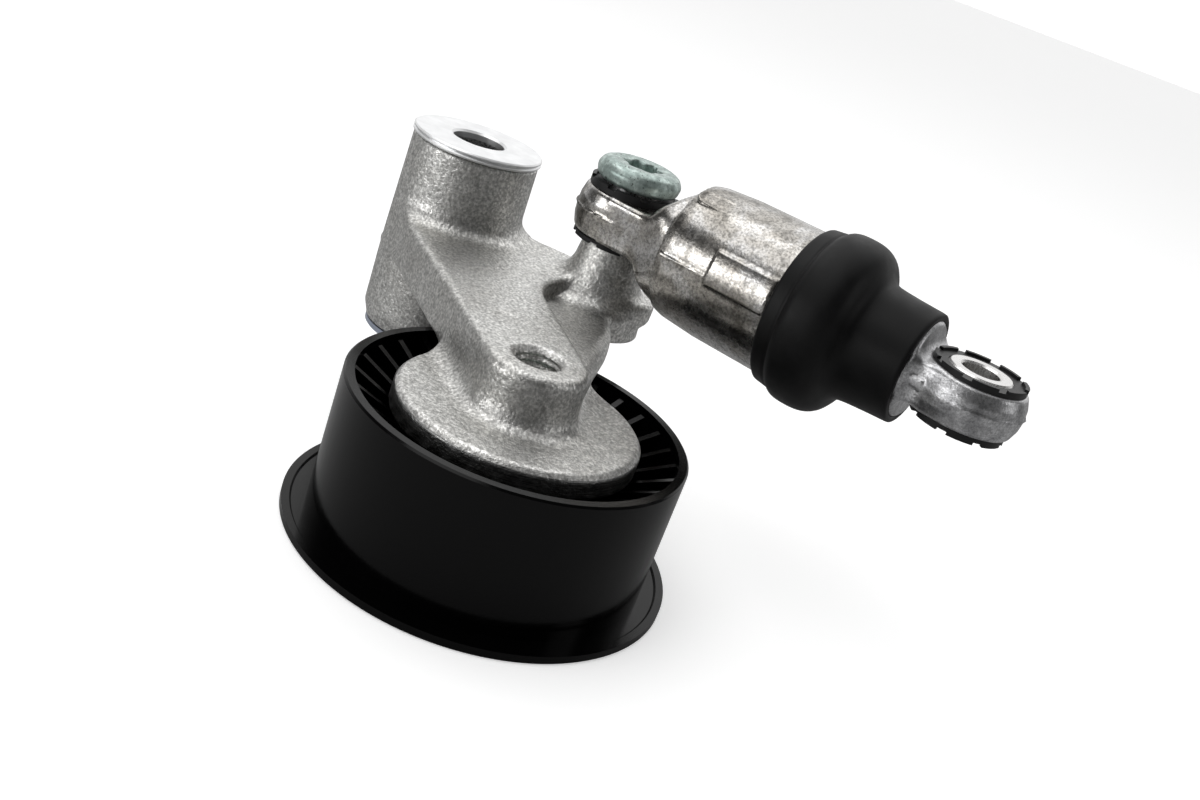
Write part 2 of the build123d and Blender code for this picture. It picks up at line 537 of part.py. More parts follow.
def check_valve_cage():
    """Pressed cup over the check ball, flanged at its foot and open in the middle of its roof."""
    foot, top = SEAT_TOP_X, SEAT_TOP_X + VALVE_CAGE_LENGTH
    inner, flange_r = VALVE_CAGE_R - VALVE_CAGE_T, CYLINDER_BORE_R - 2 * VALVE_CAGE_T
    cage = turned(
        (inner, foot), (flange_r, foot), (flange_r, foot + VALVE_CAGE_T),
        (VALVE_CAGE_R, foot + VALVE_CAGE_T), (VALVE_CAGE_R, top), (SEAT_HOLE_R, top),
        (SEAT_HOLE_R, top - VALVE_CAGE_T), (inner, top - VALVE_CAGE_T))
    return on_strut(along_strut(cage))


def check_valve_spring():
    x0 = BALL_SEAT_X + CHECK_BALL_R + CLEAR_STRUT
    x1 = SEAT_TOP_X + VALVE_CAGE_LENGTH - VALVE_CAGE_T - CLEAR_STRUT
    radius = SEAT_HOLE_R + VALVE_SPRING_WIRE_R
    return on_strut(coil(radius, VALVE_SPRING_WIRE_R, VALVE_SPRING_TURNS, x0, x1))


def return_spring():
    x0, x1 = CAVITY_X + CLEAR_STRUT, PLUG_START_X - CLEAR_STRUT
    return on_strut(coil(SPRING_R, SPRING_WIRE_R, SPRING_TURNS, x0, x1))


def boot():
    """Rubber boot: lip on the housing, round bulge that folds, and a tapered tube on the rod end."""
    lip_in, plug_in = BARREL_LIP_R + CLEAR_STRUT, PLUG_R + CLEAR_STRUT
    plate_in, plate_x = SPRING_PLATE_R + CLEAR_STRUT, PLUG_START_X + SPRING_PLATE_T + CLEAR_STRUT
    bulge_in = BOOT_BULGE_R - BOOT_WALL
    fold = [(BOOT_BULGE_R + drop, BOOT_BULGE_X1 + shift) for shift, drop in BOOT_FOLD]
    outside = [
        (lip_in, BOOT_LIP_X), (BOOT_LIP_R - BOOT_EDGE, BOOT_LIP_X), (BOOT_LIP_R, BOOT_LIP_X + BOOT_EDGE),
        (BOOT_LIP_R, BOOT_BULGE_X0 - BOOT_STEP), (BOOT_BULGE_R, BOOT_BULGE_X0 + BOOT_STEP), *fold,
        (BOOT_TUBE_R, BOOT_BULGE_X1 + BOOT_TAPER), (BOOT_END_R, BOOT_END_X)]
    inside = [
        (plug_in, BOOT_END_X), (plug_in, plate_x), (plate_in, plate_x),
        (plate_in, BOOT_BULGE_X1 + BOOT_EDGE), (bulge_in - BOOT_TUCK, BOOT_BULGE_X1 - BOOT_EDGE),
        (bulge_in, BOOT_BULGE_X1 - BOOT_TAPER), (bulge_in, BOOT_BULGE_X0 + BOOT_STEP),
        (lip_in, BOOT_LIP_X + 2 * BOOT_STEP)]
    return on_strut(along_strut(turned(*outside, *inside)))


def boot_clamp_ring():
    """Round wire ring in the boot that grips the end of the housing."""
    radius = HOUSING_END_R + BOOT_CLAMP_R + CLEAR_STRUT
    return on_strut(along_strut(Pos(0, 0, HOUSING_END_X - 2 * BOOT_CLAMP_R) * Torus(radius, BOOT_CLAMP_R)))


# ---- strut: moving half ----------------------------------------------------------------------------
def rod_end():
    """Cast rod end: spring plate, plug in the boot, and a flat tab out to the lower eye."""
    plate_x, recess_x = PLUG_START_X + SPRING_PLATE_T, PLUG_START_X + PLUG_RECESS_DEPTH
    plug = turned(
        (0, recess_x), (PLUG_RECESS_R, recess_x), (PLUG_RECESS_R, PLUG_START_X),
        (SPRING_PLATE_R, PLUG_START_X), (SPRING_PLATE_R, plate_x), (PLUG_R, plate_x),
        (PLUG_R, PLUG_FACE_X - EDGE), (PLUG_R - EDGE, PLUG_FACE_X), (0, PLUG_FACE_X))
    tab_start = PLUG_FACE_X - BITE
    tab = Pos((tab_start + EYE_TO_EYE) / 2, 0, 0) * Box(EYE_TO_EYE - tab_start, TAB_WIDTH, TAB_T)
    head = Pos(EYE_TO_EYE, 0, 0) * disc(LOWER_EYE_R, -LOWER_EYE_WIDTH / 2, LOWER_EYE_WIDTH / 2)
    bore = Pos(EYE_TO_EYE, 0, 0) * disc(LOWER_EYE_BORE_R, -LOWER_EYE_WIDTH, LOWER_EYE_WIDTH)
    return on_strut(along_strut(plug) + tab + head - bore)


def piston():
    """Hollow steel plunger that runs in the pressure cylinder, its foot grooved for the piston seal."""
    x0, x1 = PISTON_X, PLUG_START_X + PLUG_RECESS_DEPTH
    outer, inner = CYLINDER_BORE_R - RUN, CYLINDER_BORE_R - PISTON_WALL
    groove0 = x0 + PISTON_SEAL_X
    groove1, groove_r = groove0 + PISTON_SEAL_W, outer - PISTON_SEAL_T
    body = turned(
        (0, x0), (outer, x0), (outer, groove0), (groove_r, groove0), (groove_r, groove1), (outer, groove1),
        (outer, x1), (inner, x1), (inner, x0 + PISTON_FOOT), (0, x0 + PISTON_FOOT))
    return on_strut(along_strut(body))


def piston_seal():
    outer = CYLINDER_BORE_R - RUN
    x0 = PISTON_X + PISTON_SEAL_X
    return on_strut(along_strut(ring(outer, outer - PISTON_SEAL_T, x0, x0 + PISTON_SEAL_W)))


def lower_eye_collar(side):
    width, bore_r = LOWER_EYE_WIDTH, LOWER_EYE_BORE_R
    collar = eye_collar(LOWER_COLLAR_R, LOWER_COLLAR_T, width, bore_r, LOWER_SLEEVE_R, side)
    return on_strut(Pos(EYE_TO_EYE, 0, 0) * collar)


def lower_eye_sleeve():
    """Steel sleeve for the mounting bolt, its faces a little below the collars' crowns."""
    half = LOWER_EYE_WIDTH / 2 + LOWER_COLLAR_T - LOWER_SLEEVE_SUNK
    bore_r, outer_r = LOWER_SLEEVE_BORE_R, LOWER_SLEEVE_R
    sleeve = turned(
        (bore_r + EDGE, -half), (outer_r - EDGE, -half), (outer_r, EDGE - half), (outer_r, half - EDGE),
        (outer_r - EDGE, half), (bore_r + EDGE, half), (bore_r, half - EDGE), (bore_r, EDGE - half))
    return on_strut(Pos(EYE_TO_EYE, 0, 0) * sleeve)


# ---- all pieces ------------------------------------------------------------------------------------
PIECES = {
    "pivot_sleeve": pivot_sleeve(),
    "pivot_disc_upper": pivot_disc_upper(),
    "pivot_disc_lower": pivot_disc_lower(),
    "arm_casting": arm_casting(),
    "pivot_bush_upper": pivot_bush(BUSH_UPPER_Z),
    "pivot_bush_lower": pivot_bush(BUSH_LOWER_Z),
    "pivot_seal_upper": pivot_seal(TUBE_TOP_Z - SEAL_T),
    "pivot_seal_lower": pivot_seal(TUBE_BOTTOM_Z),
    "pulley_bolt": pulley_bolt(),
    "bearing_spacer": bearing_spacer(),
    "bearing_inner_ring": bearing_inner_ring(),
    "damper_bolt": damper_bolt(),
    "upper_eye_sleeve": upper_eye_sleeve(),
    "pulley_wheel": pulley_wheel(),
    "bearing_outer_ring": bearing_outer_ring(),
    "bearing_seal_upper": bearing_seal(INNER_RING_TOP_Z - BEARING_SEAL_INSET - BEARING_SEAL_T),
    "bearing_seal_lower": bearing_seal(INNER_RING_TOP_Z - BEARING_WIDTH + BEARING_SEAL_INSET),
    "dust_cap": dust_cap(),
    "bearing_balls": bearing_balls(),
    "bearing_cage": bearing_cage(),
    "damper_housing": damper_housing(),
    "upper_eye_collar_top": upper_eye_collar(1),
    "upper_eye_collar_bottom": upper_eye_collar(-1),
    "pressure_cylinder": pressure_cylinder(),
    "check_valve_seat": check_valve_seat(),
    "check_valve_ball": check_valve_ball(),
    "check_valve_spring": check_valve_spring(),
    "check_valve_cage": check_valve_cage(),
    "return_spring": return_spring(),
    "boot": boot(),
    "boot_clamp_ring": boot_clamp_ring(),
    "rod_end": rod_end(),
    "piston": piston(),
    "piston_seal": piston_seal(),
    "lower_eye_collar_top": lower_eye_collar(1),
    "lower_eye_collar_bottom": lower_eye_collar(-1),
    "lower_eye_sleeve": lower_eye_sleeve(),
}

os.makedirs("parts", exist_ok=True)
for name, shape in PIECES.items():
    export_step(shape, f"parts/{name}.step")
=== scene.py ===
import math

import bpy
import numpy as np
from mathutils import Matrix, Vector


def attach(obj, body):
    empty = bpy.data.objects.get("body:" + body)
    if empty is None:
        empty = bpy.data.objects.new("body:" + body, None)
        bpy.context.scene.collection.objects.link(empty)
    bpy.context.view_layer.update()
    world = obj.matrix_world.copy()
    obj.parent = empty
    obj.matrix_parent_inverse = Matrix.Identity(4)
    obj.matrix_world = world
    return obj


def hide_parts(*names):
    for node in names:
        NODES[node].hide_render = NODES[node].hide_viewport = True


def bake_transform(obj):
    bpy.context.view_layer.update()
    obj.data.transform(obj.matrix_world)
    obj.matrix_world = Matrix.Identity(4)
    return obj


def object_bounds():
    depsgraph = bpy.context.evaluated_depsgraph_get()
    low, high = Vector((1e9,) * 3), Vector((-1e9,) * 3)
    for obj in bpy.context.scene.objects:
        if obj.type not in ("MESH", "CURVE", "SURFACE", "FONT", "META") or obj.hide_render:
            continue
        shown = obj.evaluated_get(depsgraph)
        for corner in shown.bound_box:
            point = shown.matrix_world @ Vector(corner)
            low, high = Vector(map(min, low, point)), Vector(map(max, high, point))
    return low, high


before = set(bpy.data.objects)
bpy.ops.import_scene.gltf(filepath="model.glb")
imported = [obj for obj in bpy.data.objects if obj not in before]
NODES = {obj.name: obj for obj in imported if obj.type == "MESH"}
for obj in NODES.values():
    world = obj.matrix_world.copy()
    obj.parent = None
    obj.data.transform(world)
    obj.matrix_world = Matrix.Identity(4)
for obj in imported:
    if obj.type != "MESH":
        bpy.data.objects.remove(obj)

CAD_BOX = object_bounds()
MM = 0.001

# ---- dimensions of the part, in millimetres ----------------------------------------------------------
# Profiles are (radius, height) points before their edges are rounded.
# arm casting
PULLEY_X = 77.1
BOLT_X, BOLT_Y = 26.1, 30.2
BOLT_REACH = math.hypot(BOLT_X, BOLT_Y)
PLATEAU_Z, WEB_BASE_Z = 31.5, 20.8
TUBE_R, PULLEY_BOSS_R, BOLT_BOSS_R = 15.6, 10.9, 10.2       # corners of the web in plan
BACK_HOLLOW_R, BACK_HOLLOW_SET = 77.9, 10.4                 # hollow of the back edge
WEB_DRAFT = 0.035
TUBE_PROFILE = [(13.9, 2.2), (14.9, 5.0), (15.1, WEB_BASE_Z), (14.7, 48.2)]
RIDGE_R, RIDGE_Z, RIDGE_HALF_H = 15.72, WEB_BASE_Z + 0.2, 0.22   # parting ridge round the tube
UNDER_LIFT, UNDER_LIFT_Y = 4.0, 22.0                        # the underside rises under the bolt boss
UNDER_ROUND, UNDER_ROUND_GAIN, UNDER_ROUND_X, UNDER_ROUND_Y = 0.7, 6.5, 8.0, 7.0
UNDER_RUN = 8.0
TUBE_FILLET, TUBE_FILLET_GAIN, TUBE_FILLET_Z, TUBE_FILLET_RUN = 0.5, 4.6, 24.0, 5.0
POCKET_DEPTH = 3.4
POCKET_START_X, POCKET_END_X = BOLT_X + 12.2, PULLEY_X + 12
CREASE_X, CREASE_Y, CREASE_SLOPE = 38, 11.4, 0.022          # step between plateau and pocket
CREASE_END_Y, CREASE_END_NORMAL = 11, (0.731, 0.682)
WEB_WALL, WEB_CEILING_Z, RIB_HALF_W = 3.6, 23.9, 1.8
HOLLOW_TUBE_R, HOLLOW_BOSS_R, HOLLOW_DISC_GAP = 16.6, 13.6, 0.6
BOSS_PROFILE = [(11.6, 22), (11.1, 27.2), (9.3, 31.5), (7.6, 36), (6.9, 41.1)]
FOOT_PROFILE = [(6.7, 19.8), (6.7, 24), (9.6, 27)]
LUG_X, LUG_Y = 1.8, 4.8                                     # from the bolt's axis
LUG_PROFILE = [(6.7, 26.9), (6.8, 29.4)]
BOSS_LIMIT_R = 13.8
DISC_R = 25.2
MACHINED_SHADE_TOP_Z, MACHINED_SHADE_DEPTH = 19.3, 0.4                  # machine-turned edge of the disc, also painted darker as shade
DISC_PROFILE = [(DISC_R - 0.7, 15.6), (DISC_R - 0.7, 18.8), (DISC_R - 1.4, 19.5)]
DISC_DISH_PROFILE = [(22.4, 10), (22.4, 17)]
SPIGOT_PROFILE = [(11.6, 11.4), (11.6, 19)]
PIVOT_BORE_PROFILE = [(12.6, 0), (12.6, 3.3), (11, 3.3), (11, 47.1), (12.6, 47.1), (12.6, 50)]
THREAD_R, THREAD_DEPTH, THREAD_PITCH = 4.55, 0.32, 1.5
THREAD_SINK_R, THREAD_SINK_Z, THREAD_BOTTOM_Z = 4.2, 30.0, 11
COS_45 = 0.707
BOLT_HOLE_R, BOLT_HOLE_BOTTOM_Z = 4.25, 19
PIN_MARKS = ((60.2, -2.3, 2.5, 0.22), (6.4, 19.2, 2.6, 0.2), (27.4, 13.0, 2.6, 0.2))   # x, y, radius, depth

# strut, laid out along its own axis: u from the upper eye, v across, w up
STRUT_Z, STRUT_AZIMUTH = 48.3, math.radians(37.4)
EYE_TO_EYE = 87.7
EYE_BORE_R = 9.0
UPPER_EYE_PROFILE = [(9.5, -4.1), (10.0, -2.2), (10.15, 0), (10.0, 2.2), (9.5, 4.1)]
NECK_HALF_LENGTH, NECK_HALF_WIDTH, NECK_HALF_HEIGHT = 7.5, 11.2, 5.5
SHOULDER_START_U, SHOULDER_END_U, SHOULDER_R = 10.6, 19.6, 14.6
SHOULDER_RISE, SHOULDER_SPREAD = 1.167, 0.43                # mm per mm, up and across
SHOULDER_RISE_COS, SHOULDER_SPREAD_COS = 0.65, 0.92
SHOULDER_BACK_U = 9.0
BARREL_PROFILE = [(15.1, 18.7), (15.6, 20.6), (16.2, 29), (16.4, 47.2), (15.6, 49.4), (15.6, 58.2)]
PAD_U, PAD_ANGLE, PAD_R, PAD_ARC_R = 38.85, 0.209, 16.4, 16.6
PAD_HALF_LENGTH, PAD_HALF_WIDTH, PAD_HALF_HEIGHT = 7.35, 3.9, 0.7
OVAL_U, OVAL_ANGLE, OVAL_HALF_LENGTH = 24.5, 1.08, 2.9
OVAL_R, OVAL_RIM_R, OVAL_ARC_R = 2.4, 1.6, 16.3
OVAL_MID_R, OVAL_HALF_HEIGHT = 15.85, 0.65
OVAL_FLOOR_R, OVAL_FLOOR_HALF_HEIGHT = 16.6, 0.38
SEAM_HALF_T = 0.16
BARREL_SEAM_W, BARREL_SEAM_R, BARREL_SEAM_TAPER, BARREL_SEAM_U0, BARREL_SEAM_U1 = 0.9, 16.75, 0.03, 19, 28
EYE_SEAM_W, EYE_SEAM_R, EYE_SEAM_U = 0.3, 11.9, 4
CAVITY_R, CAVITY_START_U = 13.6, 22.5
LOWER_EYE_PROFILE = [(9.9, -3.9), (10.6, -2), (10.8, 0), (10.6, 2), (9.9, 3.9)]
PLUG_START_U, PLATE_END_U = 63.5, 65.1
PLUG_PROFILE = [(11.8, PLUG_START_U), (11.8, PLATE_END_U), (11, PLATE_END_U), (11, 75.9), (10.4, 76.5)]
ROD_LIMIT_PROFILE = [(11.8, 60), (11.8, PLATE_END_U), (11, PLATE_END_U), (11, 76.3), (40, 76.3), (40, 110)]
PLUG_RECESS_R, PLUG_RECESS_END_U = 9.6, 72.5
TAB_U, TAB_HALF_LENGTH, TAB_HALF_WIDTH, TAB_HALF_HEIGHT = 80, 9, 9.3, 4.7
NUB_U, NUB_V, NUB_W = 78.8, -9.4, 0.2                       # small nub on the tab's side
NUB_HALF_LENGTH, NUB_HALF_WIDTH, NUB_HALF_HEIGHT = 1.7, 0.6, 1.1
ROD_SEAM_W, ROD_SEAM_HALF_T, ROD_SEAM_EYE_R = 0.4, 0.15, 12.05
ROD_SEAM_TAB_V, ROD_SEAM_FLARE, ROD_SEAM_U0, ROD_SEAM_REACH = 9.55, 0.18, 77, 16

# strut bolt
HEAD_PROFILE = [(8.1, 57.4), (8.25, 58.2), (7.9, 58.8), (7.0, 59.15)]
HEAD_TOP_Z = 59.2
DISH_R, DISH_CENTRE_Z = 24.5, 84.85
SOCKET_R, SOCKET_LOBE, SOCKET_LOBES, SOCKET_BOTTOM_Z = 4.15, 0.55, 6, 57.9
SHANK_R, SHANK_Z0, SHANK_Z1 = 5.0, 41.65, 57.0
TIP_PROFILE = [(3.6, 20.5), (4.2, 21.2), (4.2, 42)]

# boot: (u, radius) points through which its two faces run
BOOT_OUTSIDE = [
    (46.6, 17.2), (46.65, 17.6), (47.0, 17.95), (48.4, 18.15), (49.9, 18.35), (50.25, 18.22), (50.6, 18.5),
    (51.6, 19.25), (53.4, 19.6), (56.6, 19.55), (58.9, 19.0), (60.6, 17.9), (61.7, 16.4), (62.5, 14.9),
    (63.4, 13.8), (65.0, 13.25), (69.6, 12.85), (75.2, 12.55), (75.8, 12.45), (76.0, 12.2)]
BOOT_INSIDE = [
    (76.0, 11.06), (65.2, 11.06), (65.15, 11.86), (61.8, 11.86), (60.6, 15.2), (58.8, 17.6), (56.0, 18.0),
    (52.0, 18.0), (49.6, 16.76), (46.7, 16.76)]
BOOT_FOLD_U0, BOOT_FOLD_U1 = 58.5, 76.0
SPRING_FOLD_U0, SPRING_FOLD_U1 = 28.0, 61.5


# ---- distance fields ---------------------------------------------------------------------------------
def join(a, b, k=0.0):
    """Union of two fields; k rounds the inside corner between them."""
    k = np.maximum(k, 1e-6)
    h = np.maximum(k - np.abs(a - b), 0.0)
    return np.minimum(a, b) - h * h / (4 * k)


def meet(a, b, k=0.0):
    """Intersection of two fields; k rounds the outside edge."""
    return -join(-a, -b, k)


def cut(a, b, k=0.0):
    """Field a less field b."""
    return meet(a, -b, k)


def fade(value, start, run):
    """0 before start, 1 after start + run, straight between."""
    return np.clip((value - start) / run, 0.0, 1.0)


def outline(px, py, points):
    """Signed distance to a closed polygon, negative inside."""
    nearest = np.full(px.shape, 1e18)
    sign = np.ones(px.shape)
    count = len(points)
    for i in range(count):
        ax, ay = points[i]
        bx, by = points[i - 1]
        ex, ey = bx - ax, by - ay
        wx, wy = px - ax, py - ay
        t = np.clip((wx * ex + wy * ey) / (ex * ex + ey * ey), 0.0, 1.0)
        dx, dy = wx - ex * t, wy - ey * t
        nearest = np.minimum(nearest, dx * dx + dy * dy)
        up, down, left = py >= ay, py < by, ex * wy > ey * wx
        flip = (up & down & left) | (~up & ~down & ~left)
        sign = np.where(flip, -sign, sign)
    return sign * np.sqrt(nearest)


def turned(rho, height, profile, round_r=0.0):
    """Turned solid from its profile, closed past the axis and grown by round_r, which rounds its edges."""
    past_axis = -9
    closed = [(past_axis, profile[0][1]), *profile, (past_axis, profile[-1][1])]
    return outline(rho, height, closed) - round_r


def link(px, py, ax, ay, ra, bx, by, rb):
    """Distance to the band round two circles of different radius and the tangents between them."""
    length = math.hypot(bx - ax, by - ay)
    ux, uy = (bx - ax) / length, (by - ay) / length
    along = (px - ax) * ux + (py - ay) * uy
    across = np.abs(-(px - ax) * uy + (py - ay) * ux)
    lean = (ra - rb) / length
    flat = math.sqrt(1 - lean * lean)
    k = -lean * across + flat * along
    start = np.hypot(along, across) - ra
    end = np.hypot(along - length, across) - rb
    side = across * flat + along * lean - ra
    return np.where(k < 0, start, np.where(k > flat * length, end, side))


def box_field(a, b, c, half_a, half_b, half_c, round_r=0.0):
    qa = np.abs(a) - half_a + round_r
    qb = np.abs(b) - half_b + round_r
    qc = np.abs(c) - half_c + round_r
    outside = np.sqrt(np.maximum(qa, 0) ** 2 + np.maximum(qb, 0) ** 2 + np.maximum(qc, 0) ** 2)
    return outside + np.minimum(np.maximum(qa, np.maximum(qb, qc)), 0) - round_r


# ---- surface of a field ------------------------------------------------------------------------------
CORNERS = [(i, j, k) for i in (0, 1) for j in (0, 1) for k in (0, 1)]
EDGES = [(a, b) for a in range(8) for b in range(a + 1, 8)
         if sum(abs(CORNERS[a][n] - CORNERS[b][n]) for n in range(3)) == 1]
AXES = range(3)
COARSE = 4                  # cells in a block of the rough grid
HALF_DIAGONAL = 0.87        # of a block, over its side
FIELD_SLACK = 1.2           # how far a rounded field may stray from true distance, in mm
SETTLE_STEPS = 2
LEAST_SLOPE = 0.05


def sample(field, low, cell, shape):
    """Field on a grid, worked out exactly only near its surface."""
    blocks = [int(math.ceil(n / COARSE)) for n in shape]
    step = cell * COARSE
    centres = [low[n] + (np.arange(blocks[n]) + 0.5) * step for n in AXES]
    rough = field(*np.meshgrid(*centres, indexing="ij"))
    near = np.abs(rough) < step * HALF_DIAGONAL + FIELD_SLACK
    grown = near.copy()
    for axis in AXES:
        for shift in (1, -1):
            grown |= np.roll(near, shift, axis)
    values, mask = rough, grown
    for axis in AXES:
        values, mask = np.repeat(values, COARSE, axis), np.repeat(mask, COARSE, axis)
    at = np.nonzero(mask)
    values[at] = field(*[low[n] + at[n] * cell for n in AXES])
    return values


def net_points(values, inside):
    """Cells that the surface crosses, and in each the mean of its edge crossings, counted in cells."""
    cells = [n - 1 for n in values.shape]
    total = np.zeros(cells, np.int8)
    for i, j, k in CORNERS:
        total += inside[i:i + cells[0], j:j + cells[1], k:k + cells[2]]
    ci, cj, ck = np.nonzero((total > 0) & (total < len(CORNERS)))
    corner_values = [values[ci + i, cj + j, ck + k] for i, j, k in CORNERS]
    points, crossings = np.zeros((len(ci), 3)), np.zeros(len(ci))
    for a, b in EDGES:
        va, vb = corner_values[a], corner_values[b]
        crossed = (va < 0) != (vb < 0)
        t = np.where(crossed, va / np.where(va == vb, 1.0, va - vb), 0.0)
        pa, pb = np.array(CORNERS[a], float), np.array(CORNERS[b], float)
        points += crossed[:, None] * (pa + t[:, None] * (pb - pa))
        crossings += crossed
    number = np.full(cells, -1, np.int64)
    number[ci, cj, ck] = np.arange(len(ci))
    return points / crossings[:, None] + np.stack([ci, cj, ck], 1), number


def net_faces(inside, number):
    """Quads that join the points of the four cells round each grid edge that the surface crosses."""
    cells = number.shape
    quads = []
    for axis in AXES:
        first, second = [n for n in AXES if n != axis]
        before = np.swapaxes(inside, 0, axis)[:-1]
        after = np.swapaxes(inside, 0, axis)[1:]
        leaving = np.swapaxes(before & ~after, 0, axis)
        entering = np.swapaxes(~before & after, 0, axis)
        for changed, turn in ((leaving, False), (entering, True)):
            at = np.array(np.nonzero(changed))
            keep = (at[first] > 0) & (at[first] < cells[first])
            keep &= (at[second] > 0) & (at[second] < cells[second])
            at = at[:, keep]
            corners = []
            for du, dv in ((1, 1), (0, 1), (0, 0), (1, 0)):
                c = at.copy()
                c[first] -= du
                c[second] -= dv
                corners.append(number[c[0], c[1], c[2]])
            if turn != (axis == 1):
                corners = corners[::-1]
            quads.append(np.stack(corners, 1))
    return np.concatenate(quads)


def settle(field, points, cell):
    """Points moved along the field's slope onto its zero surface."""
    limit, probe = cell * 0.5, cell * 0.25
    for _ in range(SETTLE_STEPS):
        value = field(*points.T)
        slope = np.zeros_like(points)
        for n in AXES:
            ahead, back = points.copy(), points.copy()
            ahead[:, n] += probe
            back[:, n] -= probe
            slope[:, n] = (field(*ahead.T) - field(*back.T)) / (2 * probe)
        size = np.maximum((slope ** 2).sum(1), LEAST_SLOPE)
        move = np.clip(value / size, -limit, limit)
        points -= move[:, None] * slope
    return points


def surface(field, low, high, cell):
    """Quad mesh of the field's zero surface (surface nets) between two corners of a box."""
    cell = cell * 1.0
    shape = [int(math.ceil((high[n] - low[n]) / cell)) + 1 for n in AXES]
    values = sample(field, low, cell, shape)
    inside = values < 0
    points, number = net_points(values, inside)
    return settle(field, points * cell + np.array(low), cell), net_faces(inside, number)


def strut_to_part(points):
    """Points of the strut's own frame in the part's frame."""
    c, s = math.cos(STRUT_AZIMUTH), math.sin(STRUT_AZIMUTH)
    out = np.empty_like(points)
    out[:, 0] = BOLT_X + points[:, 0] * c - points[:, 1] * s
    out[:, 1] = BOLT_Y + points[:, 0] * s + points[:, 1] * c
    out[:, 2] = STRUT_Z + points[:, 2]
    return out


def mesh_piece(name, points, faces, node, material):
    """Mesh object from points in millimetres, smooth shaded, that stands for a CAD node."""
    mesh = bpy.data.meshes.new(name)
    mesh.from_pydata((points * MM).tolist(), [], np.asarray(faces).tolist())
    mesh.validate()
    mesh.polygons.foreach_set("use_smooth", [True] * len(mesh.polygons))
    mesh.update()
    mesh.materials.append(material)
    piece = bpy.data.objects.new(name, mesh)
    bpy.context.scene.collection.objects.link(piece)
    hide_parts(node)
    return piece


# ---- arm casting -------------------------------------------------------------------------------------
def plan(x, y):
    """Outline of the arm's web seen from above."""
    lower = link(x, y, 0, 0, TUBE_R, PULLEY_X, 0, PULLEY_BOSS_R)
    upper = link(x, y, BOLT_X, BOLT_Y, BOLT_BOSS_R, PULLEY_X, 0, PULLEY_BOSS_R)
    back = link(x, y, 0, 0, TUBE_R, BOLT_X, BOLT_Y, BOLT_BOSS_R)
    away = (BACK_HOLLOW_R + BACK_HOLLOW_SET) / BOLT_REACH
    centre_x, centre_y = BOLT_X / 2 - BOLT_Y * away, BOLT_Y / 2 + BOLT_X * away
    back = cut(back, np.hypot(x - centre_x, y - centre_y) - BACK_HOLLOW_R, k=4.0)
    inner = outline(x, y, [(0, 0), (PULLEY_X, 0), (BOLT_X, BOLT_Y)])
    return np.minimum(np.minimum(lower, upper), np.minimum(back, inner))


def arm_tube(rho, z):
    tube = turned(rho, z, TUBE_PROFILE, round_r=0.5)
    ridge = meet(rho - RIDGE_R, np.abs(z - RIDGE_Z) - RIDGE_HALF_H, k=0.2)
    return join(tube, ridge, k=0.5)


def web_hollow(x, y, z, flat, rho):
    """Cored underside of the web: a wall all round, and a rib from the tube to the bolt boss."""
    hollow = meet(meet(flat + WEB_WALL, z - WEB_CEILING_Z, k=1.4), HOLLOW_TUBE_R - rho, k=1.4)
    hollow = cut(hollow, np.hypot(x - BOLT_X, y - BOLT_Y) - HOLLOW_BOSS_R, k=1.4)
    hollow = cut(hollow, np.hypot(x - PULLEY_X, y) - DISC_R - HOLLOW_DISC_GAP, k=1.4)
    rib = np.abs(x * BOLT_Y - y * BOLT_X) / BOLT_REACH - RIB_HALF_W
    return cut(hollow, rib, k=1.4)


def arm_web(x, y, z, flat, flank, rho):
    """Web with its high plateau and the sunk pocket beside it, whose floor rises toward the pulley."""
    sunk = 1 - (x - POCKET_START_X) / (POCKET_END_X - POCKET_START_X)
    pocket_floor_z = PLATEAU_Z - POCKET_DEPTH * sunk
    beyond_crease = CREASE_Y - CREASE_SLOPE * (x - CREASE_X) - y
    normal_x, normal_y = CREASE_END_NORMAL
    beyond_end = -normal_x * (x - CREASE_X) - normal_y * (y - CREASE_END_Y)
    pocket = meet(beyond_crease, beyond_end, k=5.0)
    high = cut(meet(flank, z - PLATEAU_Z, k=2.2), pocket, k=1.5)
    low = meet(flank + 0.3, z - pocket_floor_z, k=4.6)
    under = WEB_BASE_Z + UNDER_LIFT * fade(y, UNDER_LIFT_Y, UNDER_RUN) - z
    inward = fade(y, UNDER_ROUND_Y, UNDER_RUN) * fade(x, UNDER_ROUND_X, UNDER_RUN)
    under_round = UNDER_ROUND + UNDER_ROUND_GAIN * inward
    web = meet(join(high, low, k=0.7), under, k=under_round)
    return cut(web, web_hollow(x, y, z, flat, rho), k=0.8)


